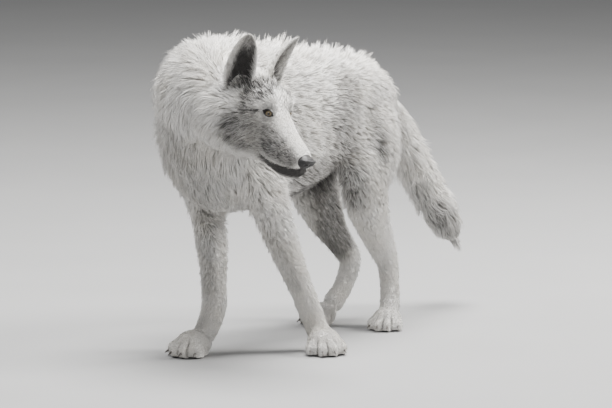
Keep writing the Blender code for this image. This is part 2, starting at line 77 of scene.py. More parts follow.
HEAD_TURN = math.radians(80)
HEAD_DIP = math.radians(22)
HEAD_ROLL = math.radians(-7)
EYE_RADIUS = 0.0118
EYE_AT = np.array((0.1425, 0.029, 0.0015))
NOSE_AT = np.array((0.27, 0.0, -0.0525))
# The back of the skull in the body's own frame, whose origin is on the floor under the shoulders.
HEAD_AT = np.array((0.124, -0.114, 0.626))


def unit(v):
    v = np.asarray(v, float)
    return v / np.maximum(np.linalg.norm(v, axis=-1, keepdims=True), 1e-12)


def head_axes():
    """Columns: the way the head points, its left and its up."""
    level = np.array((math.sin(HEAD_TURN), -math.cos(HEAD_TURN), 0.0))
    forward = level * math.cos(HEAD_DIP) - np.array((0, 0, math.sin(HEAD_DIP)))
    level_left = np.array((math.cos(HEAD_TURN), math.sin(HEAD_TURN), 0.0))
    level_up = np.cross(forward, level_left)
    left = level_left * math.cos(HEAD_ROLL) + level_up * math.sin(HEAD_ROLL)
    return np.stack([forward, left, np.cross(forward, left)], axis=1)


def middle(node):
    low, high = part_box(node)
    return np.array((low + high) / 2)


HEAD_AXES = head_axes()
SKULL = (middle("left_eye") + middle("right_eye")) / 2 - HEAD_AXES @ (EYE_AT * (1, 0, 1))
BODY = SKULL - HEAD_AT


def to_head(points):
    return (points - SKULL) @ HEAD_AXES


def from_head(points):
    return np.asarray(points) @ HEAD_AXES.T + SKULL


def smooth_step(x, low, high):
    t = np.clip((x - low) / (high - low), 0, 1)
    return t * t * (3 - 2 * t)


def hill(x, width, at=0.0):
    """1 at the given value, falling to 0 on both sides of it."""
    return np.exp(-(((x - at) / width) ** 2))


def length_of(vectors):
    return np.linalg.norm(vectors, axis=-1)


# ---- meshes

WELD = 1e-5
WEIGHT_LEVELS = 20


def mesh_from(name, points, faces):
    """A mesh whose faces all have the same number of corners."""
    mesh, faces = bpy.data.meshes.new(name), np.asarray(faces, np.int32)
    mesh.vertices.add(len(points))
    mesh.vertices.foreach_set("co", np.asarray(points, np.float32).ravel())
    mesh.loops.add(faces.size)
    mesh.loops.foreach_set("vertex_index", faces.ravel())
    mesh.polygons.add(len(faces))
    mesh.polygons.foreach_set("loop_start", np.arange(0, faces.size, faces.shape[1], dtype=np.int32))
    mesh.update(calc_edges=True)
    return mesh


def object_from(name, mesh, *materials):
    made = bpy.data.objects.new(name, mesh)
    bpy.context.scene.collection.objects.link(made)
    for material in materials:
        mesh.materials.append(material)
    return made


def welded_copy(node):
    """The solid's mesh, with the points that its faces share made one."""
    bm = bmesh.new()
    bm.from_mesh(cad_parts[node].data)
    bmesh.ops.remove_doubles(bm, verts=bm.verts[:], dist=WELD)
    mesh = bpy.data.meshes.new(node + "_copy")
    bm.to_mesh(mesh)
    bm.free()
    return mesh


def triples(rows, key, kind):
    """One property of three numbers, for every row."""
    flat = np.empty(len(rows) * 3, kind)
    rows.foreach_get(key, flat)
    return flat.reshape(-1, 3)


def points_of(mesh):
    return triples(mesh.vertices, "co", np.float32).astype(float)


def set_points(mesh, points):
    mesh.vertices.foreach_set("co", np.asarray(points, np.float32).ravel())
    mesh.update()


def normals_of(mesh):
    return triples(mesh.vertex_normals, "vector", np.float32).astype(float)


def moved_out(mesh, by):
    """The mesh's points moved along their normals, all as far or each by its own amount."""
    return points_of(mesh) + normals_of(mesh) * np.reshape(by, (-1, 1))


def triangles_of(mesh):
    mesh.calc_loop_triangles()
    return triples(mesh.loop_triangles, "vertices", np.int32)


def joined(name, bodies):
    """One mesh from several (points, faces), and the number of the one that each point is from."""
    sizes = [len(points) for points, _ in bodies]
    starts = np.cumsum([0, *sizes])
    points = np.concatenate([points for points, _ in bodies])
    faces = np.concatenate([faces + start for (_, faces), start in zip(bodies, starts)])
    return mesh_from(name, points, faces), np.repeat(np.arange(len(bodies)), sizes)


def tree_of(mesh):
    return BVHTree.FromPolygons(points_of(mesh).tolist(), triangles_of(mesh).tolist())


def settle(obj):
    """Replaces the object's mesh with what its modifiers make of it."""
    graph = bpy.context.evaluated_depsgraph_get()
    mesh = bpy.data.meshes.new_from_object(obj.evaluated_get(graph))
    old = obj.data
    obj.modifiers.clear()
    obj.data = mesh
    bpy.data.meshes.remove(old)
    return obj


def modified(obj, kind, **settings):
    """The object with one modifier made part of its mesh."""
    modifier = obj.modifiers.new(kind.lower(), kind)
    for key, value in settings.items():
        setattr(modifier, key, value)
    return settle(obj)


def smoothed(obj, steps, group=""):
    return modified(obj, "SMOOTH", factor=0.5, iterations=steps, vertex_group=group)


def weigh(obj, name, weights):
    """Sets a vertex group from one weight for each point."""
    old = obj.vertex_groups.get(name)
    if old:
        obj.vertex_groups.remove(old)
    group = obj.vertex_groups.new(name=name)
    levels = np.round(np.clip(weights, 0, 1) * WEIGHT_LEVELS).astype(int)
    for level in range(1, WEIGHT_LEVELS + 1):
        group.add(np.nonzero(levels == level)[0].tolist(), level / WEIGHT_LEVELS, "REPLACE")


def set_value(mesh, name, values):
    made = mesh.attributes.get(name) or mesh.attributes.new(name, "FLOAT", "POINT")
    made.data.foreach_set("value", np.asarray(values, np.float32))


# ---- how the coat lies

# Rows of the coat: place, reach, lie, depth, length, width, spacing, lock size and lift. Places are in the
# body's own frame, or in the head's for the rows of the head. Depth is how far the skin lies in, lift how
# much of its length a tuft stands out. The sides' and the head's rows are made on both sides.
MIDLINE_ROWS = {
    "withers": ((0.0, 0.06, 0.7), 0.09, (0, 1, 0.1), 0.034, 0.056, 0.003, 0.004, 0.01, 0.22),
    "back": ((0.0, 0.24, 0.68), 0.1, (0, 1, 0.1), 0.03, 0.052, 0.0029, 0.004, 0.009, 0.34),
    "rump": ((0.0, 0.44, 0.65), 0.09, (0, 1, -0.2), 0.026, 0.046, 0.003, 0.004, 0.01, 0.22),
    "tail_root": ((0.01, 0.56, 0.57), 0.06, (0, 0.8, -0.6), 0.02, 0.042, 0.0038, 0.0042, 0.015, 0.1),
    "belly": ((0.0, 0.15, 0.32), 0.1, (0, 1, -0.1), 0.022, 0.042, 0.004, 0.0048, 0.016, 0.03),
    "loin": ((0.0, 0.33, 0.38), 0.08, (0, 1, 0.1), 0.018, 0.036, 0.0038, 0.0046, 0.014, 0.05),
    "chest": ((0.0, -0.15, 0.42), 0.08, (0, 0.15, -1), 0.032, 0.062, 0.0042, 0.0046, 0.018, 0.03),
    "brisket": ((0.0, -0.05, 0.33), 0.08, (0, 0.7, -0.8), 0.026, 0.055, 0.0042, 0.0046, 0.018, 0.03),
}
NECK_ROWS = {
    "nape": ((0.0, 0.0, 0.72), 0.06, (-0.3, 0.9, 0.05), 0.034, 0.06, 0.003, 0.0039, 0.01, 0.1),
    "crest": ((-0.02, -0.07, 0.71), 0.06, (-0.7, 0.35, 0.1), 0.034, 0.058, 0.003, 0.0039, 0.01, 0.1),
    "top_right": ((-0.08, -0.08, 0.68), 0.06, (-0.8, 0.1, -0.35), 0.036, 0.062, 0.0038, 0.0043, 0.016, 0.05),
    "right": ((-0.13, -0.03, 0.6), 0.07, (-0.2, 0.75, -0.55), 0.036, 0.062, 0.0042, 0.0046, 0.017, 0.04),
    "front": ((-0.05, -0.17, 0.61), 0.06, (-0.85, -0.35, -0.55), 0.038, 0.062, 0.004, 0.0044, 0.016, 0.04),
    "front_low": ((-0.05, -0.18, 0.51), 0.06, (-0.45, -0.05, -1), 0.036, 0.064, 0.0042, 0.0046, 0.018, 0.03),
    "throat": ((0.06, -0.18, 0.5), 0.06, (-0.15, 0.1, -1), 0.03, 0.06, 0.004, 0.0046, 0.018, 0.02),
    "left": ((0.12, 0.01, 0.6), 0.07, (0.05, 1, -0.35), 0.032, 0.056, 0.004, 0.0046, 0.016, 0.05),
    "left_low": ((0.1, -0.04, 0.48), 0.06, (-0.05, 0.6, -0.8), 0.03, 0.056, 0.004, 0.0046, 0.016, 0.03),
}
SIDE_ROWS = {
    "side": ((0.12, 0.12, 0.6), 0.09, (0, 1, -0.25), 0.028, 0.046, 0.0038, 0.0044, 0.015, 0.04),
    "ribs": ((0.13, 0.12, 0.46), 0.09, (0, 0.95, -0.4), 0.026, 0.044, 0.0038, 0.0044, 0.015, 0.03),
    "shoulder": ((0.13, -0.01, 0.48), 0.07, (0, 0.55, -0.85), 0.026, 0.044, 0.0038, 0.0044, 0.015, 0.03),
    "flank": ((0.12, 0.28, 0.56), 0.09, (0, 1, -0.3), 0.024, 0.038, 0.0034, 0.0041, 0.012, 0.03),
    "fold": ((0.1, 0.37, 0.46), 0.07, (0, 0.7, -0.8), 0.016, 0.027, 0.0025, 0.0032, 0.008, 0.04),
    "thigh": ((0.1, 0.46, 0.52), 0.08, (0, 0.6, -0.8), 0.017, 0.025, 0.0024, 0.0031, 0.008, 0.06),
    "buttock": ((0.05, 0.56, 0.5), 0.06, (0, 0.35, -1), 0.02, 0.042, 0.0034, 0.0042, 0.014, 0.04),
}
HEAD_ROWS = {
    "bridge": ((0.235, 0.0, -0.016), 0.028, (-1, 0, 0.1), 0.0022, 0.0065, 0.0013, 0.0019, 0.004, 0.0),
    "upper_muzzle": ((0.19, 0.02, -0.006), 0.025, (-1, 0.05, 0.1), 0.0026, 0.008, 0.0014, 0.002, 0.005, 0.0),
    "muzzle_side": (
        (0.225, 0.034, -0.055), 0.028, (-1, 0.1, -0.2), 0.0024, 0.007, 0.0013, 0.0019, 0.004, 0.02,
    ),
    "chin": ((0.25, 0.01, -0.1), 0.018, (-1, 0, -0.05), 0.002, 0.006, 0.0012, 0.0019, 0.004, 0.02),
    "jaw": ((0.165, 0.034, -0.1), 0.028, (-1, 0.05, -0.1), 0.0034, 0.01, 0.0016, 0.0022, 0.006, 0.04),
    "stop": ((0.155, 0.0, 0.024), 0.022, (-1, 0, 0.3), 0.0032, 0.009, 0.0014, 0.002, 0.005, 0.02),
    "brow": ((0.13, 0.032, 0.036), 0.02, (-1, 0.25, 0.3), 0.005, 0.012, 0.0016, 0.0021, 0.006, 0.1),
    "under_eye": ((0.16, 0.042, -0.022), 0.022, (-1, 0.15, -0.25), 0.003, 0.0085, 0.0014, 0.002, 0.005, 0.02),
    "temple": ((0.105, 0.058, 0.012), 0.024, (-1, 0.15, -0.35), 0.0056, 0.014, 0.0015, 0.0021, 0.005, 0.1),
    "forehead": ((0.09, 0.0, 0.056), 0.032, (-1, 0, 0.05), 0.0084, 0.017, 0.0016, 0.0022, 0.005, 0.12),
    "crown": ((0.03, 0.0, 0.056), 0.036, (-1, 0, 0.2), 0.016, 0.034, 0.0021, 0.003, 0.008, 0.22),
    "cheek": ((0.105, 0.07, -0.045), 0.03, (-0.9, 0.1, -0.7), 0.008, 0.018, 0.0017, 0.0023, 0.006, 0.08),
    "ruff": ((0.05, 0.1, -0.045), 0.036, (-0.5, 0.1, -1), 0.022, 0.04, 0.003, 0.0036, 0.012, 0.04),
    "under_jaw": ((0.09, 0.0, -0.125), 0.036, (-0.35, 0, -1), 0.014, 0.028, 0.0026, 0.0034, 0.01, 0.04),
    "throat_top": ((0.02, 0.04, -0.14), 0.04, (-0.1, 0, -1), 0.026, 0.046, 0.0034, 0.004, 0.014, 0.03),
    "ear_front": ((0.08, 0.052, 0.042), 0.02, (-0.45, 0.2, 0.7), 0.009, 0.028, 0.0019, 0.0025, 0.006, 0.4),
    "ear_low": ((0.048, 0.068, 0.055), 0.024, (0, 0.15, 1), 0.004, 0.012, 0.0017, 0.0023, 0.006, 0.06),
    "ear_middle": ((0.05, 0.072, 0.09), 0.022, (0, 0.15, 1), 0.002, 0.009, 0.0015, 0.0021, 0.006, 0.04),
    "ear_tip": ((0.052, 0.078, 0.13), 0.022, (0, 0, 1), 0.0018, 0.007, 0.0013, 0.0019, 0.005, 0.03),
    "behind_ear": ((0.01, 0.09, 0.015), 0.034, (-0.9, 0.2, -0.5), 0.024, 0.042, 0.003, 0.0037, 0.012, 0.1),
}
# Middle lines of the legs and the tail, from the body outwards.
LEG_LINES = {
    "right_foreleg": (
        (-0.086, 0.02, 0.4), (-0.078, 0.045, 0.325), (-0.063, 0.046, 0.24), (-0.051, 0.038, 0.16),
        (-0.044, 0.03, 0.1), (-0.038, -0.02, 0.036), (-0.035, -0.08, 0.015),
    ),
    "left_foreleg": (
        (0.096, 0.02, 0.4), (0.102, 0.05, 0.325), (0.113, 0.083, 0.24), (0.126, 0.118, 0.16),
        (0.137, 0.143, 0.1), (0.165, 0.15, 0.036), (0.205, 0.11, 0.015),
    ),
    "right_hindleg": (
        (-0.072, 0.466, 0.43), (-0.084, 0.452, 0.35), (-0.078, 0.478, 0.275), (-0.061, 0.524, 0.2),
        (-0.044, 0.556, 0.148), (-0.044, 0.549, 0.108), (-0.05, 0.49, 0.04), (-0.052, 0.43, 0.015),
    ),
    "left_hindleg": (
        (0.087, 0.456, 0.43), (0.101, 0.41, 0.35), (0.098, 0.438, 0.275), (0.086, 0.495, 0.2),
        (0.077, 0.535, 0.155), (0.081, 0.54, 0.11), (0.1, 0.515, 0.04), (0.123, 0.465, 0.015),
    ),
}
TAIL_LINE = (
    (0.009, 0.6, 0.525), (0.013, 0.674, 0.43), (0.018, 0.719, 0.362), (0.026, 0.769, 0.29),
    (0.034, 0.82, 0.225), (0.042, 0.868, 0.155),
)
# Height above the floor, and the coat's depth, length, width, spacing and lock size there on a leg.
LEG_COAT = (
    (0.4, 0.015, 0.03, 0.0025, 0.0033, 0.01),
    (0.32, 0.0085, 0.023, 0.002, 0.0028, 0.007),
    (0.24, 0.005, 0.019, 0.0017, 0.0024, 0.006),
    (0.16, 0.0042, 0.017, 0.0016, 0.0023, 0.006),
    (0.1, 0.004, 0.015, 0.0015, 0.0022, 0.005),
    (0.04, 0.0034, 0.011, 0.0014, 0.002, 0.004),
    (0.015, 0.003, 0.008, 0.0014, 0.002, 0.004),
)
LEG_REACH = 0.045
TAIL_REACH = 0.06
TAIL_COAT = (0.02, 0.056, 0.0038, 0.004, 0.014, 0.08)
COAT_FIELDS = ("depth", "length", "width", "spacing", "lock", "lift")
POINTS_AT_ONCE = 20_000


def with_ways(line):
    """Each place on a line, and the line's way there."""
    line = np.array(line)
    last = len(line) - 1
    return [(line[i], unit(line[min(i + 1, last)] - line[max(i - 1, 0)])) for i in range(last + 1)]


def leg_rows():
    heights, *columns = np.array(LEG_COAT[::-1]).T
    for line in LEG_LINES.values():
        for place, lie in with_ways(line):
            coat = [np.interp(place[2], heights, column) for column in columns]
            yield place, LEG_REACH, lie, *coat, 0.02 + 0.1 * float(smooth_step(place[2], 0.04, 0.16))


def tail_rows():
    for place, lie in with_ways(TAIL_LINE):
        yield place, TAIL_REACH, lie, *TAIL_COAT


def all_rows():
    """Every row, in the frame of the solids, with the rows of the sides and the head on both sides."""
    midline = [*MIDLINE_ROWS.values(), *NECK_ROWS.values()]
    for place, reach, lie, *coat in [*midline, *leg_rows(), *tail_rows()]:
        yield BODY + place, reach, lie, coat
    for side in (1, -1):
        mirror = np.array((side, 1, 1))
        for place, reach, lie, *coat in SIDE_ROWS.values():
            yield BODY + place * mirror, reach, lie * mirror, coat
        mirror = np.array((1, side, 1))
        for place, reach, lie, *coat in HEAD_ROWS.values():
            yield from_head(place * mirror), reach, HEAD_AXES @ (lie * mirror), coat


ROWS = list(all_rows())
ROW_PLACES = np.array([row[0] for row in ROWS])
ROW_REACHES = np.array([row[1] for row in ROWS])
ROW_LIES = unit([row[2] for row in ROWS])
ROW_COATS = np.array([row[3] for row in ROWS])


def coat_at(points):
    """(lie, {field: value}) of the coat at each point, blended from the nearby rows."""
    lies, coats = [], []
    for some in np.array_split(points, max(1, len(points) // POINTS_AT_ONCE)):
        away = length_of(some[:, None] - ROW_PLACES) / ROW_REACHES
        weight = np.exp(-(away**2)) + 1e-9 * np.exp(-away)
        weight /= weight.sum(axis=1, keepdims=True)
        lies.append(unit(weight @ ROW_LIES))
        coats.append(weight @ ROW_COATS)
    coats = np.concatenate(coats)
    return np.concatenate(lies), {name: coats[:, i] for i, name in enumerate(COAT_FIELDS)}


# ---- skin

HULL_VOXEL = 0.0044
OVERLAP = 0.0015
SINKING_STEPS = 8
THINNEST_SHARE = 0.26
TAIL_FAR = 0.66


def hull_object():
    """The flesh's solids joined into one surface, which the tips of the coat reach."""
    bodies = []
    for name in FLESH + ["left_eye", "right_eye", "nose"]:
        mesh = welded_copy(name)
        bodies.append((moved_out(mesh, OVERLAP), triangles_of(mesh)))
    hull = object_from("hull", joined("hull", bodies)[0])
    modified(hull, "REMESH", mode="VOXEL", voxel_size=HULL_VOXEL)
    keep_largest(hull.data)
    mesh = smoothed(hull, 6).data
    set_points(mesh, moved_out(mesh, -OVERLAP))
    return hull


def keep_largest(mesh):
    """Drops all but the largest separate body, such as walls left inside."""
    bm = bmesh.new()
    bm.from_mesh(mesh)
    left, bodies = set(bm.verts), []
    while left:
        reached, edge = set(), {left.pop()}
        while edge:
            reached |= edge
            edge = {e.other_vert(v) for v in edge for e in v.link_edges} & left
            left -= edge
        bodies.append(reached)
    bodies.sort(key=len)
    for body in bodies[:-1]:
        bmesh.ops.delete(bm, geom=list(body), context="VERTS")
    bm.to_mesh(mesh)
    bm.free()
    mesh.update()


def spread(mesh, values, steps):
    """Values at the points, averaged with their neighbours'."""
    edges = np.empty(len(mesh.edges) * 2, np.int32)
    mesh.edges.foreach_get("vertices", edges)
    a, b = edges.reshape(-1, 2).T
    count = np.bincount(a, minlength=len(values)) + np.bincount(b, minlength=len(values))
    for _ in range(steps):
        total = np.bincount(a, values[b], len(values)) + np.bincount(b, values[a], len(values))
        values = 0.5 * values + 0.5 * total / count
    return values


def near_tail_tip(points):
    """Whether each point is on the tail's far part, and its height above the tail's tip."""
    return points[:, 1] > BODY[1] + TAIL_FAR, points[:, 2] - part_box("tail")[0].z


def sunk_depth(mesh, points, normals):
    """How far each point sinks from the tips of the coat to the skin, less where the flesh is thin."""
    _, coat = coat_at(points)
    tree = tree_of(mesh)
    thickness = np.full(len(points), 1.0)
    for i, (p, n) in enumerate(zip(points, normals)):
        hit = tree.ray_cast(Vector(p - n * 0.001), Vector(-n))
        if hit[0] is not None:
            thickness[i] = hit[3]
    ends = smooth_step(points[:, 2], 0.001, 0.016)
    on_tail, above_tip = near_tail_tip(points)
    ends *= np.where(on_tail, 0.3 + 0.7 * smooth_step(above_tip, 0.01, 0.09), 1)
    return spread(mesh, np.minimum(coat["depth"], THINNEST_SHARE * thickness), 12) * ends


def sink(obj):
    """Moves the surface in by the coat's depth, in small steps, smoothing where the coat is deep."""
    points = points_of(obj.data)
    weigh(obj, "deep", smooth_step(coat_at(points)[1]["depth"], 0.011, 0.02))
    smoothed(obj, 30, "deep")
    points = points_of(obj.data)
    depth = sunk_depth(obj.data, points, normals_of(obj.data))
    weigh(obj, "deep", smooth_step(depth, 0.004, 0.016))
    for _ in range(SINKING_STEPS):
        set_points(obj.data, moved_out(obj.data, -depth / SINKING_STEPS))
        smoothed(obj, 2, "deep")
    return obj


def refine(obj, wanted, softening=2):
    """Splits each face whose points are all wanted in four, and smooths the new ones."""
    bm = bmesh.new()
    bm.from_mesh(obj.data)
    bm.verts.ensure_lookup_table()
    chosen = wanted(np.array([v.co for v in bm.verts]))
    edges = [e for e in bm.edges if chosen[e.verts[0].index] and chosen[e.verts[1].index]]
    bmesh.ops.subdivide_edges(bm, edges=edges, cuts=1, use_grid_fill=True)
    bmesh.ops.triangulate(bm, faces=[f for f in bm.faces if len(f.verts) > 4])
    bm.to_mesh(obj.data)
    bm.free()
    weigh(obj, "new", wanted(points_of(obj.data)).astype(float))
    return smoothed(obj, softening, "new")


# ---- face

HEAD_REACH = 0.13
HEAD_FRONT = 0.32
FACE_FROM = 0.075
MUZZLE_FROM = 0.165
PAW_HEIGHT = 0.06
GAZE = unit((0.7, 0.64, 0.22))
LID = 0.0011
EYE_SOCKET = 0.018
EYE_SURROUND = 0.026
EYE_REACH = 0.03
EYE_HALF_LENGTH = 0.0112
UPPER_LID = 0.0066
LOWER_LID = 0.0054
MOUTH_TOP = -0.05
# The mouth line, seen from the side: along and height in the head's own frame.
MOUTH_LINE = np.array(
    ((0.157, -0.086), (0.17, -0.0872), (0.2, -0.0878), (0.231, -0.082), (0.2564, -0.075), (0.2712, -0.0685),
     (0.28, -0.066))
)


def eye_axes(side):
    """Columns: towards the inner corner, up across the lids, and the way the eye looks."""
    gaze = GAZE * (1, side, 1)
    inward = unit(np.array((1, 0, 0)) - gaze * gaze[0])
    up = np.cross(inward, gaze) * side
    tilt = math.radians(4)
    along = inward * math.cos(tilt) + up * math.sin(tilt)
    return np.stack([along, up * math.cos(tilt) - inward * math.sin(tilt), gaze], axis=1)


def outside_almond(along, up):
    """Distance outside the almond between the lids, below zero inside it."""
    reach = np.clip(1 - (np.abs(along) / EYE_HALF_LENGTH) ** 2.2, 0, 1) ** 0.75
    edge = np.where(up > 0, UPPER_LID, LOWER_LID) * reach
    beyond = np.maximum(np.abs(along) - EYE_HALF_LENGTH, 0)
    return np.where(beyond > 0, np.hypot(beyond, up), np.abs(up) - edge)


def eye_opening(local, side):
    """For points in the head's frame, seen on the lids' sphere: (distance outside the opening, along, up)."""
    direction = unit(local - EYE_AT * (1, side, 1))
    along, up, ahead = (direction @ eye_axes(side)).T * (EYE_RADIUS + LID)
    return np.where(ahead > 0, outside_almond(along, up), 0.02), along, up


def lid_distance(local, side):
    """How far each point near an eye lies outside its opening, and a large number elsewhere."""
    offset = local - EYE_AT * (1, side, 1)
    along, up, ahead = (offset @ eye_axes(side)).T
    near = (ahead > 0) & (length_of(offset) < EYE_REACH)
    return np.where(near, outside_almond(along, up), 1.0)


def shape_eye(local, side):
    """Lids that wrap the eye, open in an almond, with a fold above and a groove from the inner corner."""
    outside, along, up = eye_opening(local, side)
    centre = EYE_AT * (1, side, 1)
    offset = local - centre
    radius = length_of(offset)
    flat_along, flat_up, _ = (offset @ eye_axes(side)).T
    surface = EYE_RADIUS + LID
    away = smooth_step(outside_almond(flat_along, flat_up), 0.0006, 0.008)
    target = surface + np.maximum(radius - surface, 0) * away
    fold = hill(outside, 0.001, 0.0042) * (up > 0) * smooth_step(-along, -0.009, 0.004)
    target += (0.0004 * hill(outside, 0.0009, 0.0011) - 0.0007 * fold) * (radius < EYE_SOCKET)
    target -= 0.0056 * (1 - smooth_step(outside, -0.0007, 0.0003)) * (radius < EYE_SOCKET)
    groove_at = np.hypot(np.maximum(np.abs(flat_along - 0.015) - 0.004, 0), flat_up + 0.0012)
    target -= 0.0012 * hill(groove_at, 0.0013) * (flat_along > 0)
    moved = centre + unit(offset) * target[:, None]
    return np.where((radius < EYE_REACH)[:, None], moved, local)


def mouth_offset(local):
    """Height above the mouth line, and how much the point belongs to the mouth."""
    x, _, z = local.T
    corner = MOUTH_LINE[0, 0]
    belongs = smooth_step(x, corner, corner + 0.01) * on_head(local) * (z < MOUTH_TOP)
    return z - np.interp(x, *MOUTH_LINE.T), belongs


def shape_mouth(local, normals):
    """A dark groove between the lips, with a soft upper lip over a tucked lower one."""
    above, ends = mouth_offset(local)
    x, y, _ = local.T
    belongs = ends * np.maximum(smooth_step(np.abs(y), 0.001, 0.006), smooth_step(x, 0.262, 0.268))
    push = -0.003 * hill(above, 0.001)
    push += 0.0009 * hill(above, 0.003, 0.004)
    push -= 0.0012 * hill(above, 0.0025, -0.0035)
    return local + normals * (push * belongs)[:, None]


def shape_nose_base(local, normals):
    """A groove runs down the middle of the upper lip."""
    x, y, z = local.T
    groove = hill(y, 0.001) * (x > 0.255) * smooth_step(-z, 0.06, 0.066) * (mouth_offset(local)[0] > 0)
    return local - normals * (0.0012 * groove)[:, None]


def near_eyes(local, reach):
    return np.minimum(*(length_of(local - EYE_AT * (1, side, 1)) for side in (1, -1))) < reach


def on_head(local):
    """Points of the head itself, and not of the chest or the legs under it."""
    x, y, z = local.T
    return (z > -HEAD_REACH) & (x < HEAD_FRONT) & (np.abs(y) < HEAD_REACH)


def face_zone(points):
    local = to_head(points)
    return on_head(local) & (local[:, 0] > FACE_FROM)


def muzzle_zone(points):
    local = to_head(points)
    return (on_head(local) & (local[:, 0] > MUZZLE_FROM)) | near_eyes(local, EYE_SURROUND)


def fine_zone(points):
    local = to_head(points)
    above, ends = mouth_offset(local)
    return (np.abs(above) < 0.006) & (ends > 0) | near_eyes(local, EYE_SOCKET)


def paw_zone(points):
    return points[:, 2] < PAW_HEIGHT


TOE_GAP = 0.0052
TOE_GAP_WIDTH = 0.0026
TOE_LENGTH = 0.036
GAP_AHEAD = 0.004
# Where the gaps between the toes would meet, behind the claws.
PAW_HEART = 0.062


def toe_gaps():
    """(start, way) of the gap between each two toes, level on the floor, from the claws backwards."""
    for paw in PAWS:
        claws = np.array([middle(f"{paw}_claw_{i}") for i in (1, 2, 3, 4)])
        back = (middle(paw) - claws.mean(axis=0))[:2]
        back = back / length_of(back)
        heart = claws.mean(axis=0)[:2] + back * PAW_HEART
        for i in range(3):
            start = (claws[i, :2] + claws[i + 1, :2]) / 2 - back * GAP_AHEAD
            yield start, unit(heart - start)


def toe_gap_share(points):
    """1 in the middle of the gap between two toes, 0 elsewhere."""
    share = np.zeros(len(points))
    for start, way in toe_gaps():
        along = (points[:, :2] - start) @ way
        aside = np.abs((points[:, :2] - start) @ (-way[1], way[0]))
        there = (along > -0.01) * (1 - smooth_step(along, 0.6 * TOE_LENGTH, TOE_LENGTH))
        share = np.maximum(share, there * hill(aside, TOE_GAP_WIDTH))
    return share * paw_zone(points) * smooth_step(points[:, 2], 0.001, 0.006)


def shape_toes(obj):
    set_points(obj.data, moved_out(obj.data, -TOE_GAP * toe_gap_share(points_of(obj.data))))
    return obj


def shape_face(obj):
    mesh = obj.data
    local = to_head(points_of(mesh))
    normals = normals_of(mesh) @ HEAD_AXES
    face = on_head(local) & (local[:, 0] > 0.08)
    shaped = shape_nose_base(shape_mouth(local, normals), normals)
    for side in (1, -1):
        shaped = shape_eye(shaped, side)
    set_points(mesh, from_head(np.where(face[:, None], shaped, local)))
    return obj


def make_skin(hull):
    skin = object_from("skin", hull.data.copy())
    sink(skin)
    refine(skin, face_zone)
    refine(skin, paw_zone, 1)
    refine(skin, muzzle_zone)
    refine(skin, fine_zone, 1)
    return shape_toes(shape_face(skin))


# Base, tip and the way the hollow faces, in the head's own frame.
EAR_PLACES = {
    "left_ear": ((0.056, 0.066, 0.022), (0.05, 0.081, 0.143), (0.93, 0.31, 0.12)),
    "right_ear": ((0.06, -0.062, 0.014), (0.056, -0.077, 0.147), (0.66, -0.74, 0.1)),
}
EAR_SINK = 0.0009
EAR_ROOT = 0.024
DEEP_COAT = 0.009
KEPT_UNDER_LONG_FUR = 0.18
KEPT_ELSEWHERE = 0.58


def make_ear(name):
    """The ear, rounded and a little inside its solid, with its base drawn down to the skull."""
    base, tip, _ = (np.array(v) for v in EAR_PLACES[name])
    ear = modified(object_from(name + "_skin", welded_copy(name)), "SUBSURF", levels=2)
    mesh = ear.data
    local = to_head(moved_out(mesh, -EAR_SINK))
    way = (tip - base) / ((tip - base) @ (tip - base))
    share = (local - base) @ way
    root = np.clip(1 - share / 0.16, 0, 1)[:, None]
    local -= unit(tip - base) * EAR_ROOT * root + (base * (0, 0.25, 0)) * root
    set_points(mesh, from_head(local))
    return ear


def hollow_side(points, normals, name):
    """From -1 on the ear's back to 1 in its hollow."""
    return normals @ (HEAD_AXES @ unit(EAR_PLACES[name][2]))


def thinned(skin, chosen, kept):
    """Keeps this share of the faces at the chosen points."""
    weigh(skin, "plain", chosen.astype(float))
    return modified(skin, "DECIMATE", vertex_group="plain", ratio=1 - (1 - kept) * chosen.mean())


def thin_plain(skin):
    """Fewest faces under the long fur, where the skin doesn't show, and all of them at the lids and lips."""
    points = points_of(skin.data)
    under_long_fur = coat_at(points)[1]["depth"] > DEEP_COAT
    thinned(skin, ~face_zone(points) & ~paw_zone(points) & under_long_fur, KEPT_UNDER_LONG_FUR)
    return thinned(skin, ~fine_zone(points_of(skin.data)), KEPT_ELSEWHERE)


def whole_skin(hull):
    """One mesh of the skin and both ears, and for each point: 0 skin, 1 left ear, 2 right ear."""
    bodies = [thin_plain(make_skin(hull))] + [make_ear(name) for name in EARS]
    mesh, which = joined("skin", [(points_of(body.data), triangles_of(body.data)) for body in bodies])
    for body in bodies:
        bpy.data.objects.remove(body)
    mesh.shade_smooth()
    return mesh, which


# ---- markings and painted shade

PLAIN_DARK = 0.02
PLAIN_SPECKLE = 0.12
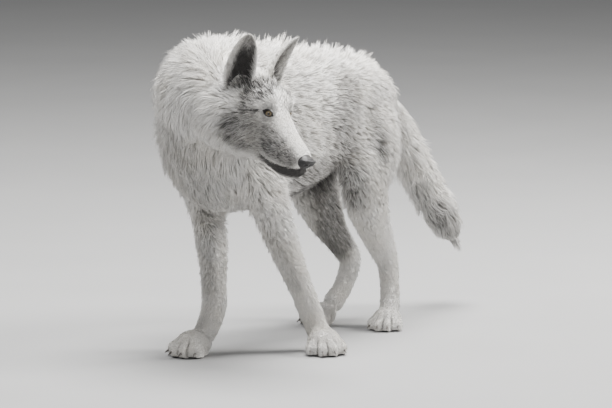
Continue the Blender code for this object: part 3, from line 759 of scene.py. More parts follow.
# Dark marks, some of them painted shade: from, to, radius, fading, darkness and speckle. Those of the head
# are on both sides of it.
HEAD_MARKS_AND_SHADE = (
    ((0.134, 0.049, 0.002), (0.122, 0.068, -0.005), 0.0014, 0.004, 0.95, 0.0),
    ((0.155, 0.024, -0.005), (0.172, 0.027, -0.016), 0.0008, 0.005, 0.5, 0.2),
    ((0.1425, 0.029, 0.0015), (0.143, 0.029, 0.0015), 0.014, 0.008, 0.4, 0.3),
    ((0.1569, 0.0353, -0.009), (0.15, 0.04, -0.014), 0.001, 0.004, 0.6, 0.3),
    ((0.1315, 0.0667, -0.0349), (0.1438, 0.0553, -0.0283), 0.01, 0.02, 0.34, 0.9),
    ((0.128, 0.064, -0.01), (0.112, 0.078, -0.03), 0.008, 0.02, 0.34, 1.0),
    ((0.104, 0.012, 0.051), (0.098, 0.044, 0.035), 0.016, 0.016, 0.34, 2.0),
    ((0.133, 0.03, 0.042), (0.123, 0.048, 0.028), 0.006, 0.011, 0.22, 2.2),
    ((0.1, 0.05, 0.03), (0.112, 0.066, 0.001), 0.01, 0.017, 0.26, 1.8),
    ((0.066, 0.0554, 0.026), (0.06, 0.035, 0.04), 0.009, 0.012, 0.4, 1.6),
    # These two are painted shade in the band between the cheek and the neck.
    ((0.106, 0.08, -0.0363), (0.108, 0.078, -0.0609), 0.013, 0.024, 0.46, 0.9),
    ((0.108, 0.078, -0.0609), (0.13, 0.059, -0.078), 0.012, 0.022, 0.46, 0.7),
    # These three are painted shade on the side of the muzzle and in the crease before it, flecked for the
    # whisker pads' spots.
    ((0.155, 0.045, -0.05), (0.155, 0.045, -0.07), 0.012, 0.024, 0.38, 0.8),
    ((0.1885, 0.0371, -0.056), (0.24, 0.0345, -0.055), 0.014, 0.02, 0.6, 0.9),
    ((0.1635, 0.0413, -0.03), (0.215, 0.0335, -0.037), 0.008, 0.017, 0.46, 0.9),
    ((0.17, 0.034, -0.08), (0.2564, 0.027, -0.067), 0.006, 0.008, 0.46, 0.3),
    ((0.258, 0.022, -0.056), (0.25, 0.026, -0.07), 0.005, 0.01, 0.62, 0.3),
    ((0.12, 0.066, -0.076), (0.138, 0.0532, -0.085), 0.005, 0.009, 0.8, 0.5),
    ((0.14, 0.05, -0.085), (0.17, 0.04, -0.086), 0.003, 0.007, 0.74, 0.4),
)
BODY_MARKS_AND_SHADE = (
    ((0.108, 0.33, 0.59), (0.118, 0.29, 0.5), 0.03, 0.045, 0.29, 1.0),
    ((0.118, 0.29, 0.5), (0.114, 0.32, 0.43), 0.034, 0.045, 0.34, 1.0),
    ((0.114, 0.34, 0.4), (0.127, 0.34, 0.32), 0.018, 0.036, 0.26, 1.0),
    ((0.124, 0.42, 0.53), (0.134, 0.43, 0.44), 0.016, 0.03, 0.3, 1.4),
    ((0.11, 0.08, 0.56), (0.112, 0.28, 0.48), 0.05, 0.07, 0.1, 0.7),
    ((0.085, -0.197, 0.552), (0.081, -0.197, 0.54), 0.005, 0.005, 1.0, 0.2),
    ((-0.06, 0.01, 0.32), (-0.045, 0.005, 0.15), 0.008, 0.024, 0.26, 0.5),
    ((-0.045, 0.005, 0.15), (-0.04, -0.02, 0.06), 0.006, 0.018, 0.18, 0.4),
    ((0.11, 0.04, 0.3), (0.138, 0.09, 0.16), 0.006, 0.022, 0.2, 0.4),
    # These four are mostly painted shade: the far thigh's inner side and on down the far hind leg, the belly,
    # and the lower flank.
    ((-0.022, 0.42, 0.44), (-0.042, 0.43, 0.37), 0.04, 0.044, 0.82, 0.4),
    ((-0.04, 0.43, 0.36), (-0.034, 0.5, 0.2), 0.03, 0.04, 0.62, 0.5),
    ((0.02, 0.18, 0.33), (0.0, 0.38, 0.37), 0.052, 0.056, 0.78, 0.4),
    ((0.115, 0.14, 0.385), (0.105, 0.27, 0.39), 0.026, 0.05, 0.6, 0.6),
    # Painted shade on the lower front of the chest.
    ((-0.04, -0.17, 0.47), (0.01, -0.15, 0.38), 0.06, 0.09, 0.17, 0.6),
    ((0.03, 0.68, 0.33), (0.054, 0.82, 0.2), 0.01, 0.032, 0.26, 1.0),
    ((0.045, 0.875, 0.15), (0.04, 0.85, 0.165), 0.008, 0.022, 0.12, 0.6),
)
# From, to, radius and fading.
PALE_MARKS = (((0.12, 0.08, 0.3), (0.142, 0.12, 0.12), 0.004, 0.01),)


def folded(local):
    """Points in the head's frame, with those on its right side brought over to its left."""
    return local * (1, 0, 1) + np.abs(local) * (0, 1, 0)


def near_line(points, start, end, radius, fading):
    """1 within the radius of the line from start to end, less further away."""
    start, end = np.array(start, float), np.array(end, float)
    share = np.clip((points - start) @ (end - start) / ((end - start) @ (end - start)), 0, 1)
    away = length_of(points - start - share[:, None] * (end - start))
    return 1 - smooth_step(away, radius, radius + fading)


def lips_and_jaw_shade(local):
    """The dark lips, and the lower jaw darkened as painted shade, strongest in front."""
    above, ends = mouth_offset(local)
    front = smooth_step(local[:, 0], 0.165, 0.225)
    # Below the mouth line the lower jaw is darkened as painted shade; the lips' black band is their own
    # colour.
    lower_edge = 1 - smooth_step(-above, 0.005 + 0.011 * front, 0.012 + 0.015 * front)
    under = smooth_step(-above, -0.001, 0.001) * lower_edge
    lips = 1 - smooth_step(np.abs(above + 0.001), 0.0012, 0.003)
    return np.maximum((0.84 + 0.145 * front) * under, 0.99 * lips) * ends


def markings_and_shade(points):
    """(darkness, speckle) of the coat at each point, the same for the skin and the fur over it; the darkness
    holds markings and painted shade.
    """
    local, body = to_head(points), points - BODY
    head = on_head(local) & (local[:, 0] > -0.02)
    dark, speckle = np.full(len(points), PLAIN_DARK), np.full(len(points), PLAIN_SPECKLE)
    for marks, places, part in ((HEAD_MARKS_AND_SHADE, folded(local), head), (BODY_MARKS_AND_SHADE, body, 1)):
        for start, end, radius, fading, darkness, flecks in marks:
            share = near_line(places, start, end, radius, fading) * part
            dark, speckle = np.maximum(dark, share * darkness), np.maximum(speckle, share * flecks)
    for start, end, radius, fading in PALE_MARKS:
        dark *= 1 - near_line(body, start, end, radius, fading)
    return np.maximum(dark, lips_and_jaw_shade(local)), speckle


# ---- the coat's ground

FACING_DOWN = -0.6
NOSE_ROOT_SIZE = (0.0125, 0.0205, 0.0165)
TEAR_DUCT = ((0.15, 0.0222, -0.002), (0.1545, 0.0205, -0.005), 0.0009, 0.0016)


def bare_share(points, normals):
    """1 on bare black skin: lid rims, lips, under the nose pad and on the soles."""
    local = to_head(points)
    above, ends = mouth_offset(local)
    bare = (1 - smooth_step(np.abs(above + 0.0012), 0.0012, 0.0026)) * ends
    for side in (1, -1):
        bare = np.maximum(bare, 1 - smooth_step(lid_distance(local, side), 0.0016, 0.003))
        bare = np.maximum(bare, near_line(local * (1, side, 1), *TEAR_DUCT))
    from_nose = local - NOSE_AT
    from_nose[:, 0] = np.minimum(from_nose[:, 0], 0)
    nose = length_of(from_nose / NOSE_ROOT_SIZE) + (local[:, 0] < 0.2)
    bare = np.maximum(bare, 1 - smooth_step(nose, 1.0, 1.12))
    philtrum = (np.abs(local[:, 1]) < 0.0014) & (local[:, 0] > 0.255) & (local[:, 2] < -0.06)
    bare = np.maximum(bare, philtrum * (above > 0) * on_head(local))
    soles = (1 - smooth_step(points[:, 2], 0.002, 0.006)) * (normals[:, 2] < FACING_DOWN)
    return np.maximum(bare, soles)


def part_round_eyes(points, lie):
    """Turns the lie of the coat away from each eye, so that no tuft crosses it."""
    local, turned = to_head(points), lie @ HEAD_AXES
    for side in (1, -1):
        away = local - EYE_AT * (1, side, 1)
        distance = np.linalg.norm(away, axis=1, keepdims=True)
        turned = turned + 2.2 * unit(away) * hill(np.maximum(distance - 0.012, 0), 0.009)
    return unit(turned @ HEAD_AXES.T)


class Ground:
    """The skin that the coat grows on: its triangles and the values at its points."""

    def __init__(self, mesh, hull, which):
        self.points, self.normals = points_of(mesh), normals_of(mesh)
        self.corners = triangles_of(mesh)
        self.tree = BVHTree.FromPolygons(self.points.tolist(), self.corners.tolist())
        a, b, c = (self.points[self.corners[:, i]] for i in range(3))
        self.areas = length_of(np.cross(b - a, c - a)) / 2
        self.lie, self.coat = coat_at(self.points)
        self.lie = part_round_eyes(self.points, self.lie)
        self.bare = bare_share(self.points, self.normals)
        self.coat["room"] = self.room(hull, which)
        self.coat["straight"] = np.zeros(len(self.points))
        self.dark, self.speckle = markings_and_shade(self.points)
        self.part_toes()
        self.shorten_tail_end()
        self.ear_marks_and_shade(which)
        self.shorten_near_edges()

    def room(self, hull, which):
        """How far below the coat's outline the skin lies."""
        tree = tree_of(hull.data)
        room = np.array([tree.find_nearest(Vector(p))[3] for p in self.points])
        return np.where(which > 0, EAR_SINK, np.minimum(room, 1.6 * self.coat["depth"] + 0.004))

    def scale(self, name, share):
        self.coat[name] = self.coat[name] * share

    def shorten_tail_end(self):
        on_tail, above_tip = near_tail_tip(self.points)
        end = on_tail * (1 - smooth_step(above_tip, 0.012, 0.075))
        self.scale("length", 1 - 0.4 * end)
        self.scale("lift", 1 - end)
        self.scale("room", 1 - 0.5 * end)
        self.coat["straight"] = end

    def part_toes(self):
        """Gaps between the toes, darkened for their dark skin and as painted shade, with very short fur that
        doesn't fill them.
        """
        gap = toe_gap_share(self.points)
        # Dark skin and painted shade in the toe gaps.
        self.dark = np.maximum(self.dark, 0.8 * smooth_step(gap, 0.25, 0.85))
        self.scale("room", 1 - 0.75 * gap)
        self.scale("length", 1 - 0.55 * gap)

    def ear_marks_and_shade(self, which):
        """Hollows, dark deep down, with pale rims, and darkest at the very bottom of the ear."""
        local = to_head(self.points)
        for i, name in enumerate(EARS, 1):
            ear = which == i
            base, tip, opening = (np.array(v) for v in EAR_PLACES[name])
            share = (local - base) @ (tip - base) / ((tip - base) @ (tip - base))
            inward = unit(np.cross(tip - base, opening)) * (-1 if name == "left_ear" else 1)
            middle_of = base + np.outer(share, tip - base)
            across = ((local - middle_of) @ inward) / (0.037 * np.sqrt(np.clip(1.05 - share**2, 0.05, 1)))
            hollow = smooth_step(hollow_side(self.points, self.normals, name), 0.1, 0.45)
            within = smooth_step(across, -0.72, -0.3) * (1 - smooth_step(across, 0.62, 0.9))
            # The hollow darkens towards its base: the ear's own darker skin there, and painted shade in the
            # recess.
            deep = 0.5 + 0.5 * (1 - smooth_step(share, 0.45, 0.85))
            dark = 0.06 + 0.92 * hollow * within * deep * (1 - smooth_step(share, 0.9, 1.0))
            # The right ear's hollow is painted darker than the left's, as painted shade.
            self.dark = np.where(ear, dark * (0.62 if name == "left_ear" else 1), self.dark)
            self.speckle = np.where(ear, 0.6, self.speckle)
            # The ear's floor: bare skin, darkened further as painted shade.
            ear_floor_bare_and_shade = ear * (hollow_side(self.points, self.normals, name) > -0.5) * (share < 0.16) * within
            self.dark = np.maximum(self.dark, 0.95 * ear_floor_bare_and_shade)
            self.coat["length"] = np.where(ear, np.minimum(self.coat["length"], 0.014), self.coat["length"])

    def shorten_near_edges(self):
        """Tufts are shortest beside the eyes, the lips and the nose."""
        local = to_head(self.points)
        close = np.full(len(self.points), 1.0)
        for side in (1, -1):
            close = np.minimum(close, 0.34 + 0.66 * smooth_step(lid_distance(local, side), 0.002, 0.012))
        above, ends = mouth_offset(local)
        lip = ends * (above < 0.012) * (above > 0)
        close = np.minimum(close, 1 - 0.45 * lip * (1 - smooth_step(above, 0.002, 0.01)))
        self.scale("length", close)
        self.scale("room", 0.5 + 0.5 * close)

    def blend(self, values, roots):
        """The points' values at places on the triangles, given as (triangles, shares of their corners)."""
        triangles, shares = roots
        return np.einsum("nk,nk...->n...", shares, values[self.corners[triangles]])

    def coat_at(self, name, roots):
        return self.blend(self.coat[name], roots)

    def scattered(self, per_area):
        """(triangles, shares) of places strewn evenly, so many to each square metre, given at the points."""
        weights = self.areas * per_area[self.corners].mean(axis=1)
        steps = np.cumsum(weights)
        count = int(steps[-1])
        drawn = (np.arange(count) + RANDOM.random(count)) / count * steps[-1]
        triangles = np.minimum(np.searchsorted(steps, drawn), len(steps) - 1)
        a, b = RANDOM.random((2, count))
        a, b = np.where(a + b > 1, 1 - a, a), np.where(a + b > 1, 1 - b, b)
        return triangles, np.stack([1 - a - b, a, b], axis=1)

    def nearest(self, places):
        """(triangles, shares) of the skin nearest to each place."""
        found = [self.tree.find_nearest(place) for place in places.tolist()]
        on = np.array([f[0] for f in found])
        triangles = np.array([f[2] for f in found])
        a, b, c = (self.points[self.corners[triangles, i]] for i in range(3))
        ab, ac, ap = b - a, c - a, on - a
        d00, d01, d11 = (ab * ab).sum(1), (ab * ac).sum(1), (ac * ac).sum(1)
        d20, d21 = (ap * ab).sum(1), (ap * ac).sum(1)
        below = np.maximum(d00 * d11 - d01 * d01, 1e-18)
        v, w = (d11 * d20 - d01 * d21) / below, (d00 * d21 - d01 * d20) / below
        shares = np.clip(np.stack([1 - v - w, v, w], axis=1), 0, 1)
        return triangles, shares / shares.sum(axis=1, keepdims=True)


# ---- coat

COAT_TRIANGLES = 1_480_000
PIECE_TRIANGLES = 180_000
FEWEST_TUFTS = 20
LONG_FROM = 0.046
WIDTH_SHARE = 0.66
# For long tufts and for short ones: the rings' places from root to tip, their heights as shares of the room
# under the coat's outline, and the widths of all but the last.
TUFT_SHAPES = {
    True: ((0.0, 0.34, 0.7, 1.0), (-0.03, 0.52, 0.84, 1.0), (0.75, 1.0, 0.66)),
    False: ((0.0, 0.5, 1.0), (-0.1, 0.6, 1.0), (0.85, 0.9)),
}
THICKNESS = 0.38
SEED_HEIGHT = 0.005
STRAY_SHARE = 0.22
STRAY_PULL = 0.1
FAR_FROM_GUIDE = 0.022
PATCH = 0.003


def rotated(vectors, axes, angles):
    """Vectors turned about unit axes, by angles in radians."""
    c, s = np.cos(angles)[:, None], np.sin(angles)[:, None]
    along = (vectors * axes).sum(axis=1, keepdims=True)
    return vectors * c + np.cross(axes, vectors) * s + axes * along * (1 - c)


def tuft_paths(ground, roots, length, lift, turn, steps, heights):
    """(middles, normals) of each tuft's rings from root to tip, as it follows the lie over the skin.

    A tuft's length is shared between its rise to the coat's outline and its way over the skin. Where the skin
    turns away, as at the tip of the tail, it goes straight on.
    """
    foot = ground.blend(ground.points, roots)
    normal = unit(ground.blend(ground.normals, roots))
    rise = ground.coat_at("room", roots) + lift * length
    reach = np.sqrt(np.maximum(length**2 - rise**2, (0.3 * length) ** 2))
    middles, normals = [], []
    for k, share in enumerate(steps):
        height = ground.coat_at("room", roots) * heights[k] + lift * length * share**1.6
        middles.append(foot + normal * height[:, None])
        normals.append(normal)
        if k + 1 < len(steps):
            lie = ground.blend(ground.lie, roots)
            facing = (lie * normal).sum(axis=1, keepdims=True)
            straight = smooth_step(facing, 0.45, 0.85) * ground.coat_at("straight", roots)[:, None]
            way = unit(lie - normal * facing * (1 - straight))
            way = rotated(way, normal, turn * (0.5 + share))
            stride = reach * (steps[k + 1] - share)
            foot = foot + way * stride[:, None]
            roots = ground.nearest(foot)
            on = ground.blend(ground.points, roots)
            free = smooth_step(length_of(foot - on) / stride, 0.45, 0.9)[:, None]
            foot = on + (foot - on) * free
            normal = unit(unit(ground.blend(ground.normals, roots)) * (1 - free) + normal * free)
    return np.stack(middles, axis=1), np.stack(normals, axis=1)


class Locks:
    """Guides that the tufts near them gather to."""

    def __init__(self, ground):
        self.roots = ground.scattered((1 - ground.bare) / ground.coat["lock"] ** 2)
        count = len(self.roots[0])
        self.length = 0.82 + 0.4 * RANDOM.random(count)
        self.lift = RANDOM.normal(0, 0.04, count)
        self.rise = 0.25 + 2.2 * RANDOM.random(count) ** 3
        self.turn = RANDOM.normal(0, 0.17, count)
        self.tone = RANDOM.random(count)
        self.fleck = RANDOM.random(count) ** 2.2
        seeds = ground.blend(ground.points, self.roots)
        seeds = seeds + ground.blend(ground.normals, self.roots) * SEED_HEIGHT
        self.tree = KDTree(count)
        for i, seed in enumerate(seeds.tolist()):
            self.tree.insert(seed, i)
        self.tree.balance()
        self.paths = {long: self.guides(ground, *shape[:2]) for long, shape in TUFT_SHAPES.items()}

    def of(self, places, normals):
        """The lock nearest to each place."""
        return np.array([self.tree.find(p)[1] for p in (places + normals * SEED_HEIGHT).tolist()])

    def guides(self, ground, steps, heights):
        length = ground.coat_at("length", self.roots) * self.length
        lift = ground.coat_at("lift", self.roots) * self.rise + self.lift
        return tuft_paths(ground, self.roots, length, lift, self.turn, steps, heights)[0]


def tuft_points(middles, normals, widths, thickness, roll):
    """The corners of every tuft: three round each ring, then the tip."""
    rings = middles.shape[1] - 1
    found = []
    for k in range(rings):
        ahead = unit(middles[:, k + 1] - middles[:, max(k - 1, 0)])
        side = unit(np.cross(normals[:, k], ahead))
        side = rotated(side, ahead, roll)
        up = np.cross(ahead, side)
        half = side * (widths[:, k] / 2)[:, None]
        ridge = up * (widths[:, k] * thickness)[:, None]
        found += [middles[:, k] - half, middles[:, k] + half, middles[:, k] + ridge]
    return np.stack(found + [middles[:, -1]], axis=1)


def tuft_faces(rings):
    """Triangles of one tuft: its closed root, its sides and its tip."""
    faces = [(0, 2, 1)]
    for k in range(rings - 1):
        for c, d in ((0, 1), (1, 2), (2, 0)):
            a, b = 3 * k, 3 * k + 3
            faces += [(a + c, a + d, b + d), (a + c, b + d, b + c)]
    last = 3 * rings - 3
    faces += [(last + c, last + d, 3 * rings) for c, d in ((0, 1), (1, 2), (2, 0))]
    return np.array(faces)


def triangles_each(long):
    """How many triangles one tuft has."""
    return len(tuft_faces(len(TUFT_SHAPES[long][2])))


def bake_places(roots):
    """Where each tuft's patch lies on an unwrap of the skin under it: round its long axis, and along it."""
    middle = roots.mean(axis=0)
    axes = np.linalg.svd(roots - middle, full_matrices=False)[2]
    across, other, along = (roots - middle) @ axes[2], (roots - middle) @ axes[1], (roots - middle) @ axes[0]
    round_it = np.arctan2(across, other) / (2 * math.pi) + 0.5
    along = (along - along.min()) / max(np.ptp(along), 1e-9)
    return np.stack([round_it, along], axis=1) * (1 - 2 * PATCH)


class Coat:
    """Every tuft's facts, kept as arrays until the pieces are made."""

    def __init__(self, ground, locks, density):
        self.ground, self.locks = ground, locks
        roots = ground.scattered(density)
        self.roots = roots
        self.places = ground.blend(ground.points, roots)
        self.normals = unit(ground.blend(ground.normals, roots))
        self.lock = locks.of(self.places, self.normals)
        count = len(self.places)
        self.length = ground.coat_at("length", roots) * locks.length[self.lock]
        self.length *= 0.84 + 0.3 * RANDOM.random(count)
        self.lift = ground.coat_at("lift", roots) * locks.rise[self.lock] + locks.lift[self.lock]
        self.lift += RANDOM.normal(0, 0.03, count)
        self.turn = locks.turn[self.lock] + RANDOM.normal(0, 0.1, count)
        self.width = ground.coat_at("width", roots) * WIDTH_SHARE * (0.7 + 0.6 * RANDOM.random(count))
        stray = RANDOM.random(count) < STRAY_SHARE
        self.gather = np.where(stray, STRAY_PULL, 0.3 + 0.45 * RANDOM.random(count))
        self.roll = RANDOM.normal(0, 0.35, count)
        self.tone = 0.55 * locks.tone[self.lock] + 0.45 * RANDOM.random(count)
        flecks = 0.4 * locks.fleck[self.lock] + 0.6 * RANDOM.random(count) ** 2.5
        flecks *= ground.blend(ground.speckle, roots)
        dark = ground.blend(ground.dark, roots)
        uneven = (RANDOM.random(count) - 0.5) * 0.6 * dark * (1 - dark)
        self.dark = np.clip(dark + uneven + 0.9 * flecks, 0, 1)
        short = 1 - smooth_step(self.length, 0.014, 0.032)
        self.tone = self.tone + (0.5 - self.tone) * 0.5 * short
        self.first = 0.6 * short
        self.long = self.length > LONG_FROM

    def make(self, name, chosen, long, material):
        steps, heights, widths = TUFT_SHAPES[long]
        roots = (self.roots[0][chosen], self.roots[1][chosen])
        middles, normals = tuft_paths(
            self.ground, roots, self.length[chosen], self.lift[chosen], self.turn[chosen], steps, heights
        )
        pull = self.gather[chosen][:, None] * np.array(steps) ** 1.25
        guides = self.locks.paths[long][self.lock[chosen]]
        pull = pull * np.exp(-((length_of(guides - middles) / FAR_FROM_GUIDE) ** 4))
        middles = middles + (guides - middles) * pull[..., None]
        widths = self.width[chosen][:, None] * widths
        points = tuft_points(middles, normals, widths, THICKNESS, self.roll[chosen])
        return self.piece(name, chosen, points, steps, material)

    def piece(self, name, chosen, points, steps, material):
        rings, each = len(steps) - 1, points.shape[1]
        count = len(chosen)
        template = tuft_faces(rings)
        faces = (template[None] + (np.arange(count) * each)[:, None, None]).reshape(-1, 3)
        mesh = mesh_from(name, points.reshape(-1, 3), faces)
        mesh.shade_smooth()
        along = np.append(np.repeat(steps[:-1], 3), 1.0)
        across = np.append(np.tile((0.0, 1.0, 0.5), rings), 0.5)
        rise = np.append(np.tile((0.0, 0.0, 0.08), rings), 0.0)
        first = np.repeat(self.first[chosen], each)
        set_value(mesh, "along", first + (1 - first) * np.tile(along, count))
        set_value(mesh, "tone", np.repeat(self.tone[chosen], each))
        set_value(mesh, "dark", np.repeat(self.dark[chosen], each))
        set_value(mesh, "strand", np.tile(across, count) + np.repeat(np.arange(count) * 7.31 % 611, each))
        patch = np.stack([across, along * 0.92 + rise], axis=1) * PATCH
        corner = bake_places(self.places[chosen])[:, None] + patch
        layer = mesh.uv_layers.new(name="OFBake")
        layer.data.foreach_set("uv", corner.reshape(-1, 2)[faces.ravel()].astype(np.float32).ravel())
        return object_from(name, mesh, material)


def regions_of(places):
    """The number, in FLESH, of the node nearest to each place."""
    total = sum(len(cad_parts[node].data.vertices) for node in FLESH)
    tree, owner = KDTree(total), []
    for i, node in enumerate(FLESH):
        for point in points_of(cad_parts[node].data).tolist():
            tree.insert(point, len(owner))
            owner.append(i)
    tree.balance()
    return np.array([owner[tree.find(p)[1]] for p in places.tolist()])


def coat_pieces(coat, material):
    """Splits the coat by the part it covers, and each part along its length where it holds too much."""
    regions = regions_of(coat.places)
    for i, node in enumerate(FLESH):
        for long in (True, False):
            tufts = np.nonzero((regions == i) & (coat.long == long))[0]
            if len(tufts) < FEWEST_TUFTS:
                continue
            parts = math.ceil(len(tufts) * triangles_each(long) / PIECE_TRIANGLES)
            places = coat.places[tufts]
            axis = np.linalg.svd(places - places.mean(axis=0), full_matrices=False)[2][0]
            order = tufts[np.argsort(places @ axis)]
            for part, chosen in enumerate(np.array_split(order, parts), 1):
                name = f"{node}_{'coat' if long else 'short_coat'}_{part}"
                yield coat.make(name, chosen, long, material)


def make_coat(ground, material):
    density = (1 - smooth_step(ground.bare, 0.3, 0.6)) / ground.coat["spacing"] ** 2
    each = np.where(ground.coat["length"] > LONG_FROM, triangles_each(True), triangles_each(False))
    cost = (ground.areas * (density * each)[ground.corners].mean(axis=1)).sum()
    share = COAT_TRIANGLES / cost * 1
    print(f"coat: {cost:.0f} triangles as listed, {share:.2f} of them made")
    return list(coat_pieces(Coat(ground, Locks(ground), density * share), material))


# ---- materials

WHITE_TIP = (0.9, 0.885, 0.86)
WHITE_ROOT = (0.7, 0.685, 0.66)
DARK_TIP = (0.06, 0.057, 0.055)
DARK_ROOT = (0.034, 0.032, 0.031)
BARE = (0.018, 0.017, 0.017)
HORN = (0.045, 0.04, 0.037)
AMBER = (0.1, 0.075, 0.04)


class Shader:
    """A material's nodes, added one by one."""

    def __init__(self, name, **sockets):
        self.material = bpy.data.materials.new(name)
        self.material.use_nodes = True
        self.tree = self.material.node_tree
        self.surface = self.tree.nodes["Principled BSDF"]
        for socket, value in sockets.items():
            self.surface.inputs[socket.replace("_", " ")].default_value = value

    def node(self, kind, settings=None, **inputs):
        made = self.tree.nodes.new(kind)
        for key, value in (settings or {}).items():
            setattr(made, key, value)
        for key, value in inputs.items():
            self.put(made.inputs[key.replace("_", " ")], value)
        return made

    def put(self, socket, value):
        if isinstance(value, bpy.types.NodeSocket):
            self.tree.links.new(value, socket)
        elif isinstance(value, tuple) and len(value) == 3 and socket.type == "RGBA":
            socket.default_value = (*value, 1)
        else:
            socket.default_value = value

    def value(self, name):
        return self.node("ShaderNodeAttribute", {"attribute_name": name}).outputs["Fac"]

    def place(self):
        return self.node("ShaderNodeTexCoord").outputs["Object"]

    def noise(self, scale, detail=3.0, roughness=0.5):
        settings = {"Vector": self.place(), "Scale": scale, "Detail": detail, "Roughness": roughness}
        return self.node("ShaderNodeTexNoise", **settings).outputs["Fac"]

    def spread(self, value, low, high, to_low=0.0, to_high=1.0):
        made = self.node("ShaderNodeMapRange", Value=value)
        for key, number in (("From Min", low), ("From Max", high), ("To Min", to_low), ("To Max", to_high)):
            made.inputs[key].default_value = number
        return made.outputs["Result"]

    def swing(self, noise, low=0.0, high=1.0):
        """Noise, whose values lie about a half, stretched to go from low to high."""
        return self.spread(noise, 0.3, 0.7, low, high)

    def math(self, operation, a, b):
        made = self.node("ShaderNodeMath", {"operation": operation})
        self.put(made.inputs[0], a)
        self.put(made.inputs[1], b)
        return made.outputs[0]

    def mix(self, share, a, b, kind="MIX"):
        made = self.node("ShaderNodeMix", {"data_type": "RGBA", "blend_type": kind})
        self.put(made.inputs[0], share)
        self.put(made.inputs[6], a)
        self.put(made.inputs[7], b)
        return made.outputs[2]

    def times(self, a, b, share=1.0):
        return self.mix(share, a, b, "MULTIPLY")

    def grey(self, level):
        return self.node("ShaderNodeCombineColor", Red=level, Green=level, Blue=level).outputs[0]

    def finish(self, colour, roughness):
        """The material, with its two main inputs linked."""
        self.put(self.surface.inputs["Base Color"], colour)
        self.put(self.surface.inputs["Roughness"], roughness)
        return self.material

    def bump(self, height, strength, distance):
        made = self.node("ShaderNodeBump", Strength=strength, Distance=distance, Height=height)
        self.put(self.surface.inputs["Normal"], made.outputs["Normal"])


def fur_colour(shader, along):
    """Pale tips over greyer roots, dark where marked or where shade is painted, lock by lock and hair by hair
    a little different.
    """
    shade = shader.spread(along, 0.05, 0.8)
    pale = shader.mix(shade, WHITE_ROOT, WHITE_TIP)
    dark = shader.mix(shade, DARK_ROOT, DARK_TIP)
    warm = shader.spread(shader.noise(14, 4), 0.35, 0.7, 0.0, 0.55)
    pale = shader.times(pale, (1.0, 0.965, 0.9), warm)
    colour = shader.mix(shader.value("dark"), pale, dark)
    tone = shader.spread(shader.value("tone"), 0, 1, 0.86, 1.06)
    return shader.times(colour, shader.grey(tone))


def coat_material():
    shader = Shader("coat", Specular_IOR_Level=0.3)
    strands = shader.node(
        "ShaderNodeTexNoise", {"noise_dimensions": "1D"}, W=shader.value("strand"), Scale=7.0, Detail=2.0
    ).outputs["Fac"]
    colour = fur_colour(shader, shader.value("along"))
    shader.bump(strands, 0.5, 0.0006)
    colour = shader.times(colour, shader.grey(shader.swing(strands, 0.84, 1.08)))
    return shader.finish(colour, shader.swing(strands, 0.52, 0.72))


def skin_material():
    """The same colours as the fur's roots, and black bare skin at the lids, lips and soles."""
    shader = Shader("skin", Specular_IOR_Level=0.35)
    fine = shader.noise(520, 4, 0.65)
    colour = fur_colour(shader, shader.swing(fine, 0.15, 0.55))
    bare = shader.spread(shader.value("bare"), 0.25, 0.6)
    black = shader.mix(fine, BARE, (0.05, 0.047, 0.046))
    rough = shader.math("SUBTRACT", shader.swing(fine, 0.62, 0.82), shader.math("MULTIPLY", bare, 0.3))
    shader.bump(fine, 0.6, 0.0008)
    return shader.finish(shader.mix(bare, colour, black), rough)


def nose_material():
    """Black, moist and pebbled."""
    shader = Shader("nose_pad", Specular_IOR_Level=0.32)
    cells = shader.node("ShaderNodeTexVoronoi", Vector=shader.place(), Scale=760.0).outputs["Distance"]
    tone = shader.swing(shader.noise(160, 4))
    colour = shader.mix(tone, (0.008, 0.008, 0.009), (0.026, 0.025, 0.025))
    shader.bump(cells, 0.55, 0.0006)
    return shader.finish(colour, shader.swing(shader.noise(300, 3), 0.36, 0.55))


def eye_material():
    """By the angle from the way the eye looks: pupil, amber iris, dark edge, dark white of the eye."""
    shader = Shader("eye", Specular_IOR_Level=0.25, Coat_Weight=0.7, Coat_Roughness=0.03, Coat_IOR=1.38)
    around = shader.node("ShaderNodeCombineXYZ", X=shader.value("turn"), Y=shader.value("angle")).outputs[0]
    settings = {"noise_dimensions": "2D"}
    rays = shader.node("ShaderNodeTexNoise", settings, Vector=around, Scale=9.0, Detail=4.0).outputs["Fac"]
    ramp = shader.node("ShaderNodeValToRGB", Fac=shader.value("angle")).outputs["Color"]
    stops = shader.tree.nodes["Color Ramp"].color_ramp
    for place, colour in (
        (0.13, (0.004, 0.004, 0.004)), (0.15, (0.1, 0.07, 0.03)), (0.19, AMBER),
        (0.32, (0.15, 0.118, 0.068)), (0.385, (0.05, 0.037, 0.022)), (0.43, (0.01, 0.008, 0.007)),
    ):
        stop = stops.elements.new(place)
        stop.color = (*colour, 1)
    stops.elements[0].color = (0.003, 0.003, 0.003, 1)
    stops.elements[-1].color = (0.05, 0.035, 0.03, 1)
    colour = shader.times(ramp, shader.grey(shader.swing(rays, 0.65, 1.25)))
    return shader.finish(colour, shader.swing(rays, 0.08, 0.16))


def horn_material():
    shader = Shader("horn", Specular_IOR_Level=0.45)
    grain = shader.noise(420, 4, 0.6)
    shader.bump(grain, 0.35, 0.0004)
    colour = shader.mix(grain, HORN, (0.13, 0.118, 0.105))
    return shader.finish(colour, shader.swing(grain, 0.34, 0.55))


def floor_material():
    shader = Shader("floor", Specular_IOR_Level=0.2)
    grain = shader.noise(3, 5)
    colour = shader.mix(grain, (0.29, 0.29, 0.29), (0.31, 0.31, 0.31))
    return shader.finish(colour, shader.swing(grain, 0.8, 0.95))


# ---- eyes, nose and claws

LOOK = unit((0.8, 0.56, 0.12))
EYE_TURNS = 48
CORNEA = 0.055
NOSTRIL = np.array((0.2785, 0.01, -0.0545))


